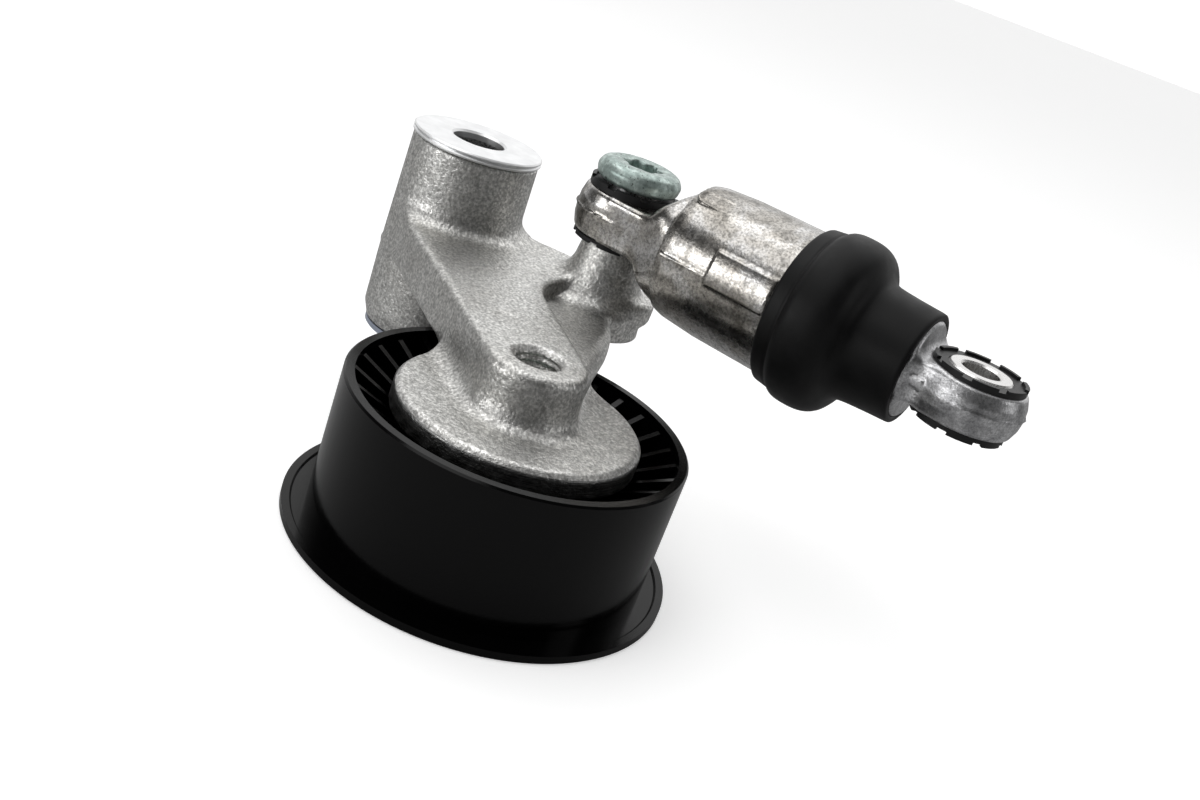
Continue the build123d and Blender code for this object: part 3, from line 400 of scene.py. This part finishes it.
def arm_field(x, y, z):
    rho = np.hypot(x, y)
    bolt_rho = np.hypot(x - BOLT_X, y - BOLT_Y)
    pulley_rho = np.hypot(x - PULLEY_X, y)
    flat = plan(x, y)
    flank = flat + (z - WEB_BASE_Z) * WEB_DRAFT
    tube = arm_tube(rho, z)
    fillet = TUBE_FILLET + TUBE_FILLET_GAIN * fade(z, TUBE_FILLET_Z, TUBE_FILLET_RUN) ** 2
    body = join(tube, arm_web(x, y, z, flat, flank, rho), k=fillet)

    body = join(body, turned(bolt_rho, z, BOSS_PROFILE, round_r=0.5), k=4.0)
    body = join(body, turned(bolt_rho, z, FOOT_PROFILE, round_r=1.0), k=1.6)
    lug_rho = np.hypot(x - BOLT_X - LUG_X, y - BOLT_Y - LUG_Y)
    body = join(body, turned(lug_rho, z, LUG_PROFILE, round_r=1.75), k=1.4)

    disc = turned(pulley_rho, z, DISC_PROFILE, round_r=0.7)
    disc = cut(disc, turned(pulley_rho, z, DISC_DISH_PROFILE), k=0.5)
    body = join(body, disc, k=4.4)
    body = join(body, turned(pulley_rho, z, SPIGOT_PROFILE), k=1.5)

    limit = np.minimum(np.minimum(flank, tube), np.minimum(bolt_rho - BOSS_LIMIT_R, pulley_rho - DISC_R))
    body = np.maximum(body, limit)
    return arm_holes(body, x, y, z, rho, bolt_rho, pulley_rho)


def arm_holes(body, x, y, z, rho, bolt_rho, pulley_rho):
    """The casting less its pivot bore, tapped hole, bolt hole and ejector pin marks."""
    body = np.maximum(body, -turned(rho, z, PIVOT_BORE_PROFILE))
    turn = np.arctan2(y, x - PULLEY_X) / (2 * math.pi)
    phase = 2 * math.pi * (z / THREAD_PITCH + turn)
    thread = pulley_rho - THREAD_R - THREAD_DEPTH * np.sin(phase)
    sink = (pulley_rho - THREAD_SINK_R - (z - THREAD_SINK_Z)) * COS_45
    body = cut(body, np.maximum(np.minimum(thread, sink), THREAD_BOTTOM_Z - z), k=0.25)
    body = np.maximum(body, -meet(bolt_rho - BOLT_HOLE_R, BOLT_HOLE_BOTTOM_Z - z))
    for pin_x, pin_y, radius, depth in PIN_MARKS:
        pin = np.maximum(np.hypot(x - pin_x, y - pin_y) - radius, np.abs(z - PLATEAU_Z) - depth)
        body = cut(body, pin, k=0.3)
    return body


# ---- strut castings ----------------------------------------------------------------------------------
def shoulder(u, v, w, r):
    """Wedge that widens from the flat neck to the round barrel."""
    rise = u - SHOULDER_START_U
    top = (np.abs(w) - NECK_HALF_HEIGHT - SHOULDER_RISE * rise) * SHOULDER_RISE_COS
    sides = (np.abs(v) - NECK_HALF_WIDTH - SHOULDER_SPREAD * rise) * SHOULDER_SPREAD_COS
    wedge = meet(meet(top, sides, k=2.4), r - SHOULDER_R, k=1.6)
    return meet(wedge, np.maximum(u - SHOULDER_END_U, SHOULDER_BACK_U - u))


def raised_marks(body, u, r, angle):
    """The barrel with its flat pad and its raised oval."""
    pad_arc = (angle - PAD_ANGLE) * PAD_ARC_R
    pad = box_field(u - PAD_U, pad_arc, r - PAD_R, PAD_HALF_LENGTH, PAD_HALF_WIDTH, PAD_HALF_HEIGHT, 0.3)
    body = join(body, pad, k=0.6)
    oval_arc = (angle - OVAL_ANGLE) * OVAL_ARC_R
    oval = np.hypot(np.maximum(np.abs(u - OVAL_U) - OVAL_HALF_LENGTH, 0), oval_arc)
    outer = np.maximum(oval - OVAL_R, np.abs(r - OVAL_MID_R) - OVAL_HALF_HEIGHT)
    sunk = np.maximum(oval - OVAL_RIM_R, np.abs(r - OVAL_FLOOR_R) - OVAL_FLOOR_HALF_HEIGHT)
    return join(body, cut(outer, sunk, k=0.25), k=0.4)


def housing_field(u, v, w):
    """Damper housing."""
    eye_rho = np.hypot(u, v)
    r = np.hypot(v, w)
    eye = turned(eye_rho, w, UPPER_EYE_PROFILE, round_r=1.4)
    neck = box_field(u - NECK_HALF_LENGTH, v, w, NECK_HALF_LENGTH, NECK_HALF_WIDTH, NECK_HALF_HEIGHT, 1.4)
    body = join(eye, neck, k=0.6)
    body = join(body, shoulder(u, v, w, r), k=1.6)
    body = join(body, turned(r, u, BARREL_PROFILE, round_r=0.3), k=0.2)
    body = raised_marks(body, u, r, np.arctan2(w, -v))

    edge = r - BARREL_SEAM_R + BARREL_SEAM_TAPER * np.maximum(BARREL_SEAM_U1 - u, 0)
    seam = np.maximum(np.abs(w - BARREL_SEAM_W) - SEAM_HALF_T, np.maximum(edge, BARREL_SEAM_U0 - u))
    body = join(body, np.maximum(seam, v), k=0.3)
    eye_seam = np.maximum(eye_rho - EYE_SEAM_R, np.abs(w - EYE_SEAM_W) - SEAM_HALF_T)
    body = join(body, np.maximum(eye_seam, u - EYE_SEAM_U), k=0.3)

    body = cut(body, eye_rho - EYE_BORE_R, k=0.6)
    cavity = np.maximum(r - CAVITY_R, CAVITY_START_U - u)
    return np.maximum(body, -cavity)


def rod_end_field(u, v, w):
    """Rod end: plug inside the boot, flat tab and lower eye."""
    eye_rho = np.hypot(u - EYE_TO_EYE, v)
    r = np.hypot(v, w)
    eye = turned(eye_rho, w, LOWER_EYE_PROFILE, round_r=0.9)
    tab = box_field(u - TAB_U, v, w, TAB_HALF_LENGTH, TAB_HALF_WIDTH, TAB_HALF_HEIGHT, 1.1)
    body = join(eye, tab, k=1.5)
    body = join(body, turned(r, u, PLUG_PROFILE), k=3.0)
    body = np.maximum(body, turned(r, u, ROD_LIMIT_PROFILE))
    nub = box_field(u - NUB_U, v - NUB_V, w - NUB_W, NUB_HALF_LENGTH, NUB_HALF_WIDTH, NUB_HALF_HEIGHT, 0.25)
    body = join(body, nub, k=0.3)

    tab_edge = np.abs(v) - ROD_SEAM_TAB_V - ROD_SEAM_FLARE * np.maximum(u - TAB_U, 0)
    edge = np.where(u > EYE_TO_EYE, eye_rho - ROD_SEAM_EYE_R, tab_edge)
    seam = np.maximum(np.maximum(np.abs(w - ROD_SEAM_W) - ROD_SEAM_HALF_T, edge), ROD_SEAM_U0 - u)
    body = join(body, np.maximum(seam, eye_rho - ROD_SEAM_REACH), k=0.3)

    body = cut(body, eye_rho - EYE_BORE_R, k=0.5)
    recess = np.maximum(r - PLUG_RECESS_R, u - PLUG_RECESS_END_U)
    return np.maximum(body, -recess)


def bolt_field(x, y, z):
    """Strut bolt: dished round head with a lobed socket, shank, and a tip inside the boss."""
    rho = np.hypot(x - BOLT_X, y - BOLT_Y)
    head = outline(rho, z, [(-9, HEAD_PROFILE[0][1]), *HEAD_PROFILE, (-9, HEAD_TOP_Z)]) - 1.6
    head = cut(head, np.sqrt(rho * rho + (z - DISH_CENTRE_Z) ** 2) - DISH_R, k=0.8)
    angle = np.arctan2(y - BOLT_Y, x - BOLT_X)
    lobes = rho - SOCKET_R - SOCKET_LOBE * np.cos(SOCKET_LOBES * angle)
    head = cut(head, np.maximum(lobes, SOCKET_BOTTOM_Z - z), k=0.4)
    shank = np.maximum(rho - SHANK_R, np.maximum(SHANK_Z0 - z, z - SHANK_Z1))
    return np.minimum(np.minimum(head, shank), turned(rho, z, TIP_PROFILE))


# ---- materials ---------------------------------------------------------------------------------------
RING_PITCH = 0.35           # of the turning marks, in mm
SHADER_SOCKETS = {"base": "Base Color", "metal": "Metallic", "rough": "Roughness", "normal": "Normal",
                  "specular": "Specular IOR Level"}


class Nodes:
    """Short hand for building a material's node tree."""

    def __init__(self, name):
        self.material = bpy.data.materials.new(name)
        self.material.use_nodes = True
        self.tree = self.material.node_tree
        self.shader = self.tree.nodes["Principled BSDF"]
        self.coords = self.tree.nodes.new("ShaderNodeTexCoord").outputs["Object"]

    def add(self, kind, inputs=(), **settings):
        node = self.tree.nodes.new(kind)
        for key, value in settings.items():
            setattr(node, key, value)
        for key, value in dict(inputs).items():
            if isinstance(value, bpy.types.NodeSocket):
                self.tree.links.new(value, node.inputs[key])
            else:
                node.inputs[key].default_value = value
        return node

    def noise(self, size_mm, detail=3.0, rough=0.55, stretch=None, distortion=0.0):
        where = self.coords
        if stretch:
            where = self.add("ShaderNodeMapping", {"Vector": where, "Scale": stretch}).outputs[0]
        return self.add("ShaderNodeTexNoise", {"Vector": where, "Scale": 1 / (size_mm * MM), "Detail": detail,
                                               "Roughness": rough, "Distortion": distortion}).outputs["Fac"]

    def ramp(self, value, stops):
        node = self.add("ShaderNodeValToRGB", {"Fac": value})
        while len(node.color_ramp.elements) < len(stops):
            node.color_ramp.elements.new(0.5)
        for element, (place, colour) in zip(node.color_ramp.elements, stops):
            element.position = place
            element.color = (*colour, 1) if isinstance(colour, tuple) else (colour, colour, colour, 1)
        return node.outputs["Color"]

    def mix(self, how_much, a, b, blend="MIX"):
        node = self.add("ShaderNodeMix", data_type="RGBA", blend_type=blend)
        sockets = [s for s in node.inputs if s.enabled]
        for socket, value in zip(sockets, (how_much, a, b)):
            if isinstance(value, bpy.types.NodeSocket):
                self.tree.links.new(value, socket)
            elif isinstance(value, tuple):
                socket.default_value = (*value, 1)
            else:
                socket.default_value = value
        return [s for s in node.outputs if s.enabled][0]

    def math(self, operation, a, b=0.0, clamp=False):
        node = self.add("ShaderNodeMath", operation=operation, use_clamp=clamp)
        for socket, value in zip(node.inputs, (a, b)):
            if isinstance(value, bpy.types.NodeSocket):
                self.tree.links.new(value, socket)
            else:
                socket.default_value = value
        return node.outputs[0]

    def bump(self, height, depth_mm, strength):
        inputs = {"Height": height, "Distance": depth_mm * MM, "Strength": strength}
        return self.add("ShaderNodeBump", inputs).outputs[0]

    def axis_distance(self, centre_x):
        """Distance in metres from the upright axis at centre_x."""
        shift = {"Vector": self.coords, "Location": (-centre_x * MM, 0, 0)}
        moved = self.add("ShaderNodeMapping", shift).outputs[0]
        flat = self.add("ShaderNodeVectorMath", {0: moved, 1: (1, 1, 0)}, operation="MULTIPLY").outputs[0]
        return self.add("ShaderNodeVectorMath", {0: flat}, operation="LENGTH").outputs["Value"]

    def finish(self, **values):
        for key, value in values.items():
            socket = self.shader.inputs[SHADER_SOCKETS[key]]
            if isinstance(value, bpy.types.NodeSocket):
                self.tree.links.new(value, socket)
            elif isinstance(value, tuple):
                socket.default_value = (*value, 1)
            else:
                socket.default_value = value
        return self.material


def cast_aluminium():
    """Sandblasted casting; the edge of the round shield is machine-turned and streaked round its axis, and
    painted darker as shade.
    """
    m = Nodes("cast_aluminium")
    grain = m.noise(0.62, 3.0, 0.6)
    coarse = m.noise(1.5, 3.0, 0.6)
    cloud = m.noise(11.0, 3.0, 0.55)
    base = m.ramp(cloud, [(0.3, (0.82, 0.81, 0.78)), (0.7, (0.97, 0.965, 0.94))])
    base = m.mix(1.0, base, m.ramp(grain, [(0.36, 0.48), (0.52, 0.72), (0.62, 1.0)]), "MULTIPLY")
    base = m.mix(0.6, base, m.ramp(coarse, [(0.34, 0.62), (0.56, 1.0)]), "MULTIPLY")
    height = m.add("ShaderNodeSeparateXYZ", {0: m.coords}).outputs["Z"]
    on_edge = m.math("COMPARE", m.axis_distance(PULLEY_X), DISC_R * MM)
    on_edge.node.inputs[2].default_value = MACHINED_SHADE_DEPTH * MM
    machined_band_shade = m.math("MULTIPLY", on_edge, m.math("LESS_THAN", height, MACHINED_SHADE_TOP_Z * MM))
    # painted shade: the turned band is streaked and set very dark, standing in for the shade on the disc's
    # side
    streak = m.noise(1.6, 4.0, 0.7, (0.25, 0.25, 9.0))
    dark = m.ramp(streak, [(0.35, (0.08, 0.08, 0.08)), (0.65, (0.46, 0.46, 0.45))])
    base = m.mix(machined_band_shade, base, dark)
    rough = m.ramp(grain, [(0.33, 0.48), (0.66, 0.32)])
    normal = m.bump(m.math("ADD", grain, m.math("MULTIPLY", coarse, 1.2)), 0.16, 0.9)
    return m.finish(base=base, metal=1.0, rough=rough, normal=normal)


def die_cast():
    """Pressure die casting: slightly tinted bright skin with soft stains, fine grain and dark specks."""
    m = Nodes("die_cast_skin")
    stain = m.noise(9.0, 4.0, 0.6, None, 0.6)
    patch = m.noise(2.0, 4.0, 0.65)
    fine = m.noise(0.55, 3.0, 0.6)
    base = m.ramp(stain, [(0.34, (0.34, 0.32, 0.29)), (0.48, (0.50, 0.48, 0.45)), (0.62, (0.66, 0.65, 0.64))])
    base = m.mix(0.7, base, m.ramp(patch, [(0.36, 0.50), (0.50, 1.0)]), "MULTIPLY")
    base = m.mix(0.85, base, m.ramp(fine, [(0.36, 0.42), (0.58, 1.0)]), "MULTIPLY")
    rough = m.ramp(patch, [(0.36, 0.32), (0.56, 0.20)])
    normal = m.bump(m.math("ADD", fine, patch), 0.06, 0.35)
    return m.finish(base=base, metal=1.0, rough=rough, normal=normal)


def bright_cast():
    """Brighter casting of the rod end, clouded and finely grained."""
    m = Nodes("bright_cast")
    cloud = m.noise(3.5, 4.0, 0.6)
    fine = m.noise(0.45, 4.0, 0.6)
    base = m.ramp(cloud, [(0.34, (0.42, 0.42, 0.43)), (0.6, (0.74, 0.74, 0.75))])
    base = m.mix(0.8, base, m.ramp(fine, [(0.34, 0.45), (0.6, 1.0)]), "MULTIPLY")
    rough = m.ramp(fine, [(0.3, 0.40), (0.7, 0.30)])
    return m.finish(base=base, metal=1.0, rough=rough, normal=m.bump(fine, 0.09, 0.7))


def plain_metal(name, colour, rough_low, rough_high):
    """Ground or drawn steel with a fine grain."""
    m = Nodes(name)
    grain = m.noise(0.6, 3.0, 0.6)
    dark = tuple(c * 0.82 for c in colour)
    base = m.ramp(grain, [(0.3, dark), (0.7, colour)])
    rough = m.ramp(grain, [(0.3, rough_low), (0.7, rough_high)])
    return m.finish(base=base, metal=1.0, rough=rough, normal=m.bump(grain, 0.01, 0.4))


def turned_steel(name, colour, rough=0.22):
    """Bright turned face with fine rings round the pivot's axis."""
    m = Nodes(name)
    turns = m.math("MULTIPLY", m.axis_distance(0.0), 1 / (RING_PITCH * MM))
    rings = m.add("ShaderNodeTexNoise", {"W": turns, "Scale": 1.0, "Detail": 2.0}, noise_dimensions="1D")
    rings = rings.outputs["Fac"]
    cloud = m.noise(4.0, 3.0)
    base = m.mix(m.ramp(cloud, [(0.35, 0.0), (0.65, 1.0)]), tuple(c * 0.9 for c in colour), colour)
    roughness = m.ramp(rings, [(0.3, rough), (0.7, rough + 0.12)])
    return m.finish(base=base, metal=1.0, rough=roughness, normal=m.bump(rings, 0.006, 0.35))


def zinc_flake():
    """Grey green zinc flake coat with blotches and small dark chips."""
    m = Nodes("zinc_flake")
    blotch = m.noise(1.6, 4.0, 0.65)
    fine = m.noise(0.3, 3.0, 0.6)
    base = m.ramp(blotch, [(0.3, (0.24, 0.30, 0.28)), (0.52, (0.42, 0.51, 0.48)), (0.68, (0.68, 0.78, 0.74))])
    chips = m.ramp(m.noise(0.7, 1.0), [(0.66, 1.0), (0.70, 0.12)])
    base = m.mix(0.8, base, chips, "MULTIPLY")
    return m.finish(base=base, metal=0.7, rough=m.ramp(fine, [(0.3, 0.30), (0.7, 0.44)]),
                    normal=m.bump(fine, 0.04, 0.5))


def moulded_black(name, colour, rough_low, rough_high, specular, grain_mm=0.5, depth=0.008):
    """Moulded polymer, faintly clouded, with a fine grain."""
    m = Nodes(name)
    grain = m.noise(grain_mm, 3.0, 0.55)
    cloud = m.noise(12.0, 2.0)
    base = m.mix(cloud, tuple(c * 0.8 for c in colour), colour)
    rough = m.ramp(grain, [(0.3, rough_low), (0.7, rough_high)])
    return m.finish(base=base, metal=0.0, rough=rough, specular=specular, normal=m.bump(grain, depth, 0.4))


def rubber():
    """Moulded rubber with a soft bloom that also dulls it."""
    m = Nodes("boot_rubber")
    grain = m.noise(0.35, 4.0, 0.6)
    bloom = m.noise(6.0, 4.0, 0.6)
    base = m.mix(m.ramp(bloom, [(0.4, 0.0), (0.7, 1.0)]), (0.0028, 0.0028, 0.003), (0.0062, 0.0062, 0.0066))
    rough = m.ramp(bloom, [(0.3, 0.42), (0.7, 0.56)])
    return m.finish(base=base, metal=0.0, rough=rough, specular=0.2, normal=m.bump(grain, 0.02, 0.4))


CAST = cast_aluminium()
DIE_CAST = die_cast()
BRIGHT_CAST = bright_cast()
ZINC_FLAKE = zinc_flake()
ZINC_TOP = turned_steel("zinc_disc_top", (0.95, 0.955, 0.96), 0.34)
ZINC_BOTTOM = turned_steel("zinc_disc_bottom", (0.55, 0.60, 0.72))
BARE_STEEL = plain_metal("bare_steel", (0.62, 0.62, 0.62), 0.22, 0.34)
SLEEVE_STEEL = turned_steel("sleeve_steel", (0.85, 0.84, 0.83))
BEARING_STEEL = plain_metal("bearing_steel", (0.70, 0.70, 0.70), 0.1, 0.2)
SPRING_STEEL = plain_metal("spring_steel", (0.30, 0.31, 0.33), 0.3, 0.42)
PULLEY_BLACK = moulded_black("pulley_nylon", (0.0012, 0.0012, 0.0013), 0.13, 0.19, 0.20, 2.0, 0.002)
COLLAR_BLACK = moulded_black("collar_nylon", (0.010, 0.010, 0.0105), 0.36, 0.48, 0.35)
SEAL_BLACK = moulded_black("seal_rubber", (0.014, 0.014, 0.014), 0.5, 0.65, 0.4)
BUSH_TAN = moulded_black("bush_polymer", (0.25, 0.20, 0.13), 0.4, 0.55, 0.5)
RUBBER = rubber()

NODE_MATERIALS = {
    "pivot_disc_upper": ZINC_TOP, "pivot_disc_lower": ZINC_BOTTOM, "pivot_sleeve": BARE_STEEL,
    "pivot_bush_upper": BUSH_TAN, "pivot_bush_lower": BUSH_TAN, "pivot_seal_upper": SEAL_BLACK,
    "pivot_seal_lower": SEAL_BLACK, "pulley_bolt": ZINC_FLAKE, "bearing_spacer": BARE_STEEL,
    "bearing_inner_ring": BEARING_STEEL, "bearing_outer_ring": BEARING_STEEL, "bearing_balls": BEARING_STEEL,
    "bearing_cage": COLLAR_BLACK, "bearing_seal_upper": SEAL_BLACK, "bearing_seal_lower": SEAL_BLACK,
    "upper_eye_sleeve": BARE_STEEL, "pulley_wheel": PULLEY_BLACK, "dust_cap": COLLAR_BLACK,
    "upper_eye_collar_top": COLLAR_BLACK, "upper_eye_collar_bottom": COLLAR_BLACK,
    "pressure_cylinder": BARE_STEEL, "check_valve_seat": BARE_STEEL, "check_valve_ball": BEARING_STEEL,
    "check_valve_cage": BARE_STEEL, "check_valve_spring": SPRING_STEEL,
    "boot_clamp_ring": SPRING_STEEL, "piston": BEARING_STEEL, "piston_seal": SEAL_BLACK,
    "lower_eye_collar_top": COLLAR_BLACK, "lower_eye_collar_bottom": COLLAR_BLACK,
    "lower_eye_sleeve": SLEEVE_STEEL,
}
for node_name, material in NODE_MATERIALS.items():
    node = NODES[node_name]
    if not node.data.materials:
        node.data.materials.append(material)
    for node_slot in node.material_slots:
        node_slot.link = "OBJECT"
        node_slot.material = material


# ---- pieces ------------------------------------------------------------------------------------------
def lathe(profile, segments):
    """Closed turned shell about the strut's axis from (u, r) points."""
    angles = np.arange(segments) * 2 * math.pi / segments
    rows = [np.stack([np.full(segments, u), r * np.cos(angles), r * np.sin(angles)], 1) for u, r in profile]
    count = len(profile)
    faces = []
    for i in range(count):
        j = (i + 1) % count
        for a in range(segments):
            b = (a + 1) % segments
            faces.append((i * segments + a, j * segments + a, j * segments + b, i * segments + b))
    return np.concatenate(rows), faces


def smooth_line(points, spacing):
    """Even points along a Catmull-Rom curve through the given (u, r) points."""
    pts = np.array([points[0], *points, points[-1]], float)
    out = []
    for i in range(1, len(pts) - 2):
        p0, p1, p2, p3 = pts[i - 1:i + 3]
        n = max(1, int(np.hypot(*(p2 - p1)) / spacing))
        for t in np.arange(n) / n:
            out.append(0.5 * (2 * p1 + (p2 - p0) * t + (2 * p0 - 5 * p1 + 4 * p2 - p3) * t ** 2
                              + (3 * p1 - p0 - 3 * p2 + p3) * t ** 3))
    out.append(pts[-2])
    return [tuple(p) for p in out]


def on_axis(u):
    return tuple(strut_to_part(np.array([[u, 0.0, 0.0]]))[0] * MM)


BOLT_BOX_R = 11.4
points, quads = surface(arm_field, (-17.5, -27, -0.2), (104.5, 45.5, 49.8), cell=0.5)
arm = mesh_piece("arm_casting_skin", points, quads, "arm_casting", CAST)
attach(arm, "arm")

points, quads = surface(housing_field, (-13.2, -18.6, -18.6), (59.4, 18.6, 18.6), cell=0.45)
points = strut_to_part(points)
housing = mesh_piece("damper_housing_skin", points, quads, "damper_housing", DIE_CAST)
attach(housing, "damper")

points, quads = surface(rod_end_field, (62.4, -13, -13), (101, 13, 13), cell=0.4)
rod_end = mesh_piece("rod_end_skin", strut_to_part(points), quads, "rod_end", BRIGHT_CAST)
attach(rod_end, "rod")

bolt_low = (BOLT_X - BOLT_BOX_R, BOLT_Y - BOLT_BOX_R, 19.6)
bolt_high = (BOLT_X + BOLT_BOX_R, BOLT_Y + BOLT_BOX_R, 62)
points, quads = surface(bolt_field, bolt_low, bolt_high, cell=0.33)
bolt = mesh_piece("damper_bolt_skin", points, quads, "damper_bolt", ZINC_FLAKE)
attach(bolt, "arm")

boot_profile = smooth_line(BOOT_OUTSIDE, 0.4) + smooth_line(BOOT_INSIDE, 0.6)
points, faces = lathe(boot_profile, segments=128)
boot = mesh_piece("boot_skin", strut_to_part(points), faces, "boot", RUBBER)
on_axis(BOOT_FOLD_U0)
on_axis(BOOT_FOLD_U1)
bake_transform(boot)

# The spring is a copy of its CAD node.
coil = bpy.data.objects.new("return_spring_coil", NODES["return_spring"].data.copy())
bpy.context.scene.collection.objects.link(coil)
coil.data.materials.clear()
coil.data.materials.append(SPRING_STEEL)
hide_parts("return_spring")
on_axis(SPRING_FOLD_U0)
on_axis(SPRING_FOLD_U1)
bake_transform(coil)

# ---- floor, light and camera -------------------------------------------------------------------------
AIM = Vector((0.055, 0.02, 0.03))


def make_floor():
    """Pale floor under the part. It looks paler than the light that it throws back onto the part."""
    centre = (0.04, 0.02, CAD_BOX[0].z)
    bpy.ops.mesh.primitive_circle_add(vertices=96, radius=6.0, fill_type="NGON", location=centre)
    floor = bpy.context.object
    floor.name = "floor"
    paper = Nodes("paper")
    seen = paper.add("ShaderNodeLightPath").outputs["Is Camera Ray"]
    tone = paper.mix(seen, (0.45, 0.45, 0.45), (0.86, 0.86, 0.86))
    paper.finish(base=tone, rough=0.9, specular=0.1)
    paper.shader.inputs["Emission Color"].default_value = (1, 1, 1, 1)
    glow = paper.math("MULTIPLY", seen, 0.5)
    paper.tree.links.new(glow, paper.shader.inputs["Emission Strength"])
    floor.data.materials.append(paper.material)


def make_sky():
    """Studio wall: bright on one side, dim elsewhere, and plain white behind the part."""
    world = bpy.data.worlds.new("studio")
    bpy.context.scene.world = world
    world.use_nodes = True
    sky = world.node_tree
    background = sky.nodes["Background"]
    background.inputs["Color"].default_value = (1, 1, 1, 1)
    toward_wall = sky.nodes.new("ShaderNodeVectorMath")
    toward_wall.operation = "DOT_PRODUCT"
    toward_wall.inputs[1].default_value = (-0.90, 0.38, 0.20)
    sky.links.new(sky.nodes.new("ShaderNodeTexCoord").outputs["Generated"], toward_wall.inputs[0])
    wall = sky.nodes.new("ShaderNodeMapRange")
    wall.interpolation_type = "SMOOTHSTEP"
    for key, value in (("From Min", 0.25), ("From Max", 0.85), ("To Min", 0.07), ("To Max", 0.95)):
        wall.inputs[key].default_value = value
    sky.links.new(toward_wall.outputs["Value"], wall.inputs["Value"])
    seen = sky.nodes.new("ShaderNodeMix")
    sky.links.new(sky.nodes.new("ShaderNodeLightPath").outputs["Is Camera Ray"], seen.inputs["Factor"])
    sky.links.new(wall.outputs[0], seen.inputs["A"])
    seen.inputs["B"].default_value = 1.1
    sky.links.new(seen.outputs[0], background.inputs["Strength"])


def light(name, data, direction):
    """Lamp that shines on the part from the given direction."""
    lamp = bpy.data.objects.new(name, data)
    bpy.context.scene.collection.objects.link(lamp)
    lamp.rotation_mode = "QUATERNION"
    lamp.rotation_quaternion = Vector(direction).to_track_quat("Z", "Y")
    return lamp


def softbox(name, direction, distance, width, height, power):
    data = bpy.data.lights.new(name, "AREA")
    data.shape, data.size, data.size_y = "RECTANGLE", width, height
    data.energy = power
    away = Vector(direction).normalized()
    light(name, data, away).location = AIM + away * distance


def make_camera():
    data = bpy.data.cameras.new("camera")
    data.sensor_width = 36.0
    data.lens = 39.21
    data.clip_start, data.clip_end = 0.01, 50
    camera = bpy.data.objects.new("camera", data)
    bpy.context.scene.collection.objects.link(camera)
    right = Vector((0.29687, 0.89754, 0.32601))
    up = Vector((-0.47215, -0.15878, 0.86710))
    forward = Vector((-0.83003, 0.41134, -0.37663))
    turn = Matrix((right, up, -forward)).transposed().to_4x4()
    camera.matrix_world = Matrix.Translation((0.29243, -0.09129, 0.12253)) @ turn
    bpy.context.scene.camera = camera


make_floor()
make_sky()
softbox("side_box", (0.16, -0.96, 0.17), distance=0.80, width=0.60, height=0.26, power=1.9)
softbox("high_box", (-0.10, -0.42, 0.90), distance=0.95, width=1.05, height=0.62, power=3.4)
softbox("rear_box", (0.55, 0.80, 0.40), distance=1.10, width=0.35, height=0.50, power=1.0)
sun = bpy.data.lights.new("sky_panel", "SUN")
sun.energy, sun.angle = 0.55, math.radians(70)
light("sky_panel", sun, (-0.35, 0.25, 1.0))
make_camera()
bpy.context.scene.view_settings.view_transform = "Standard"
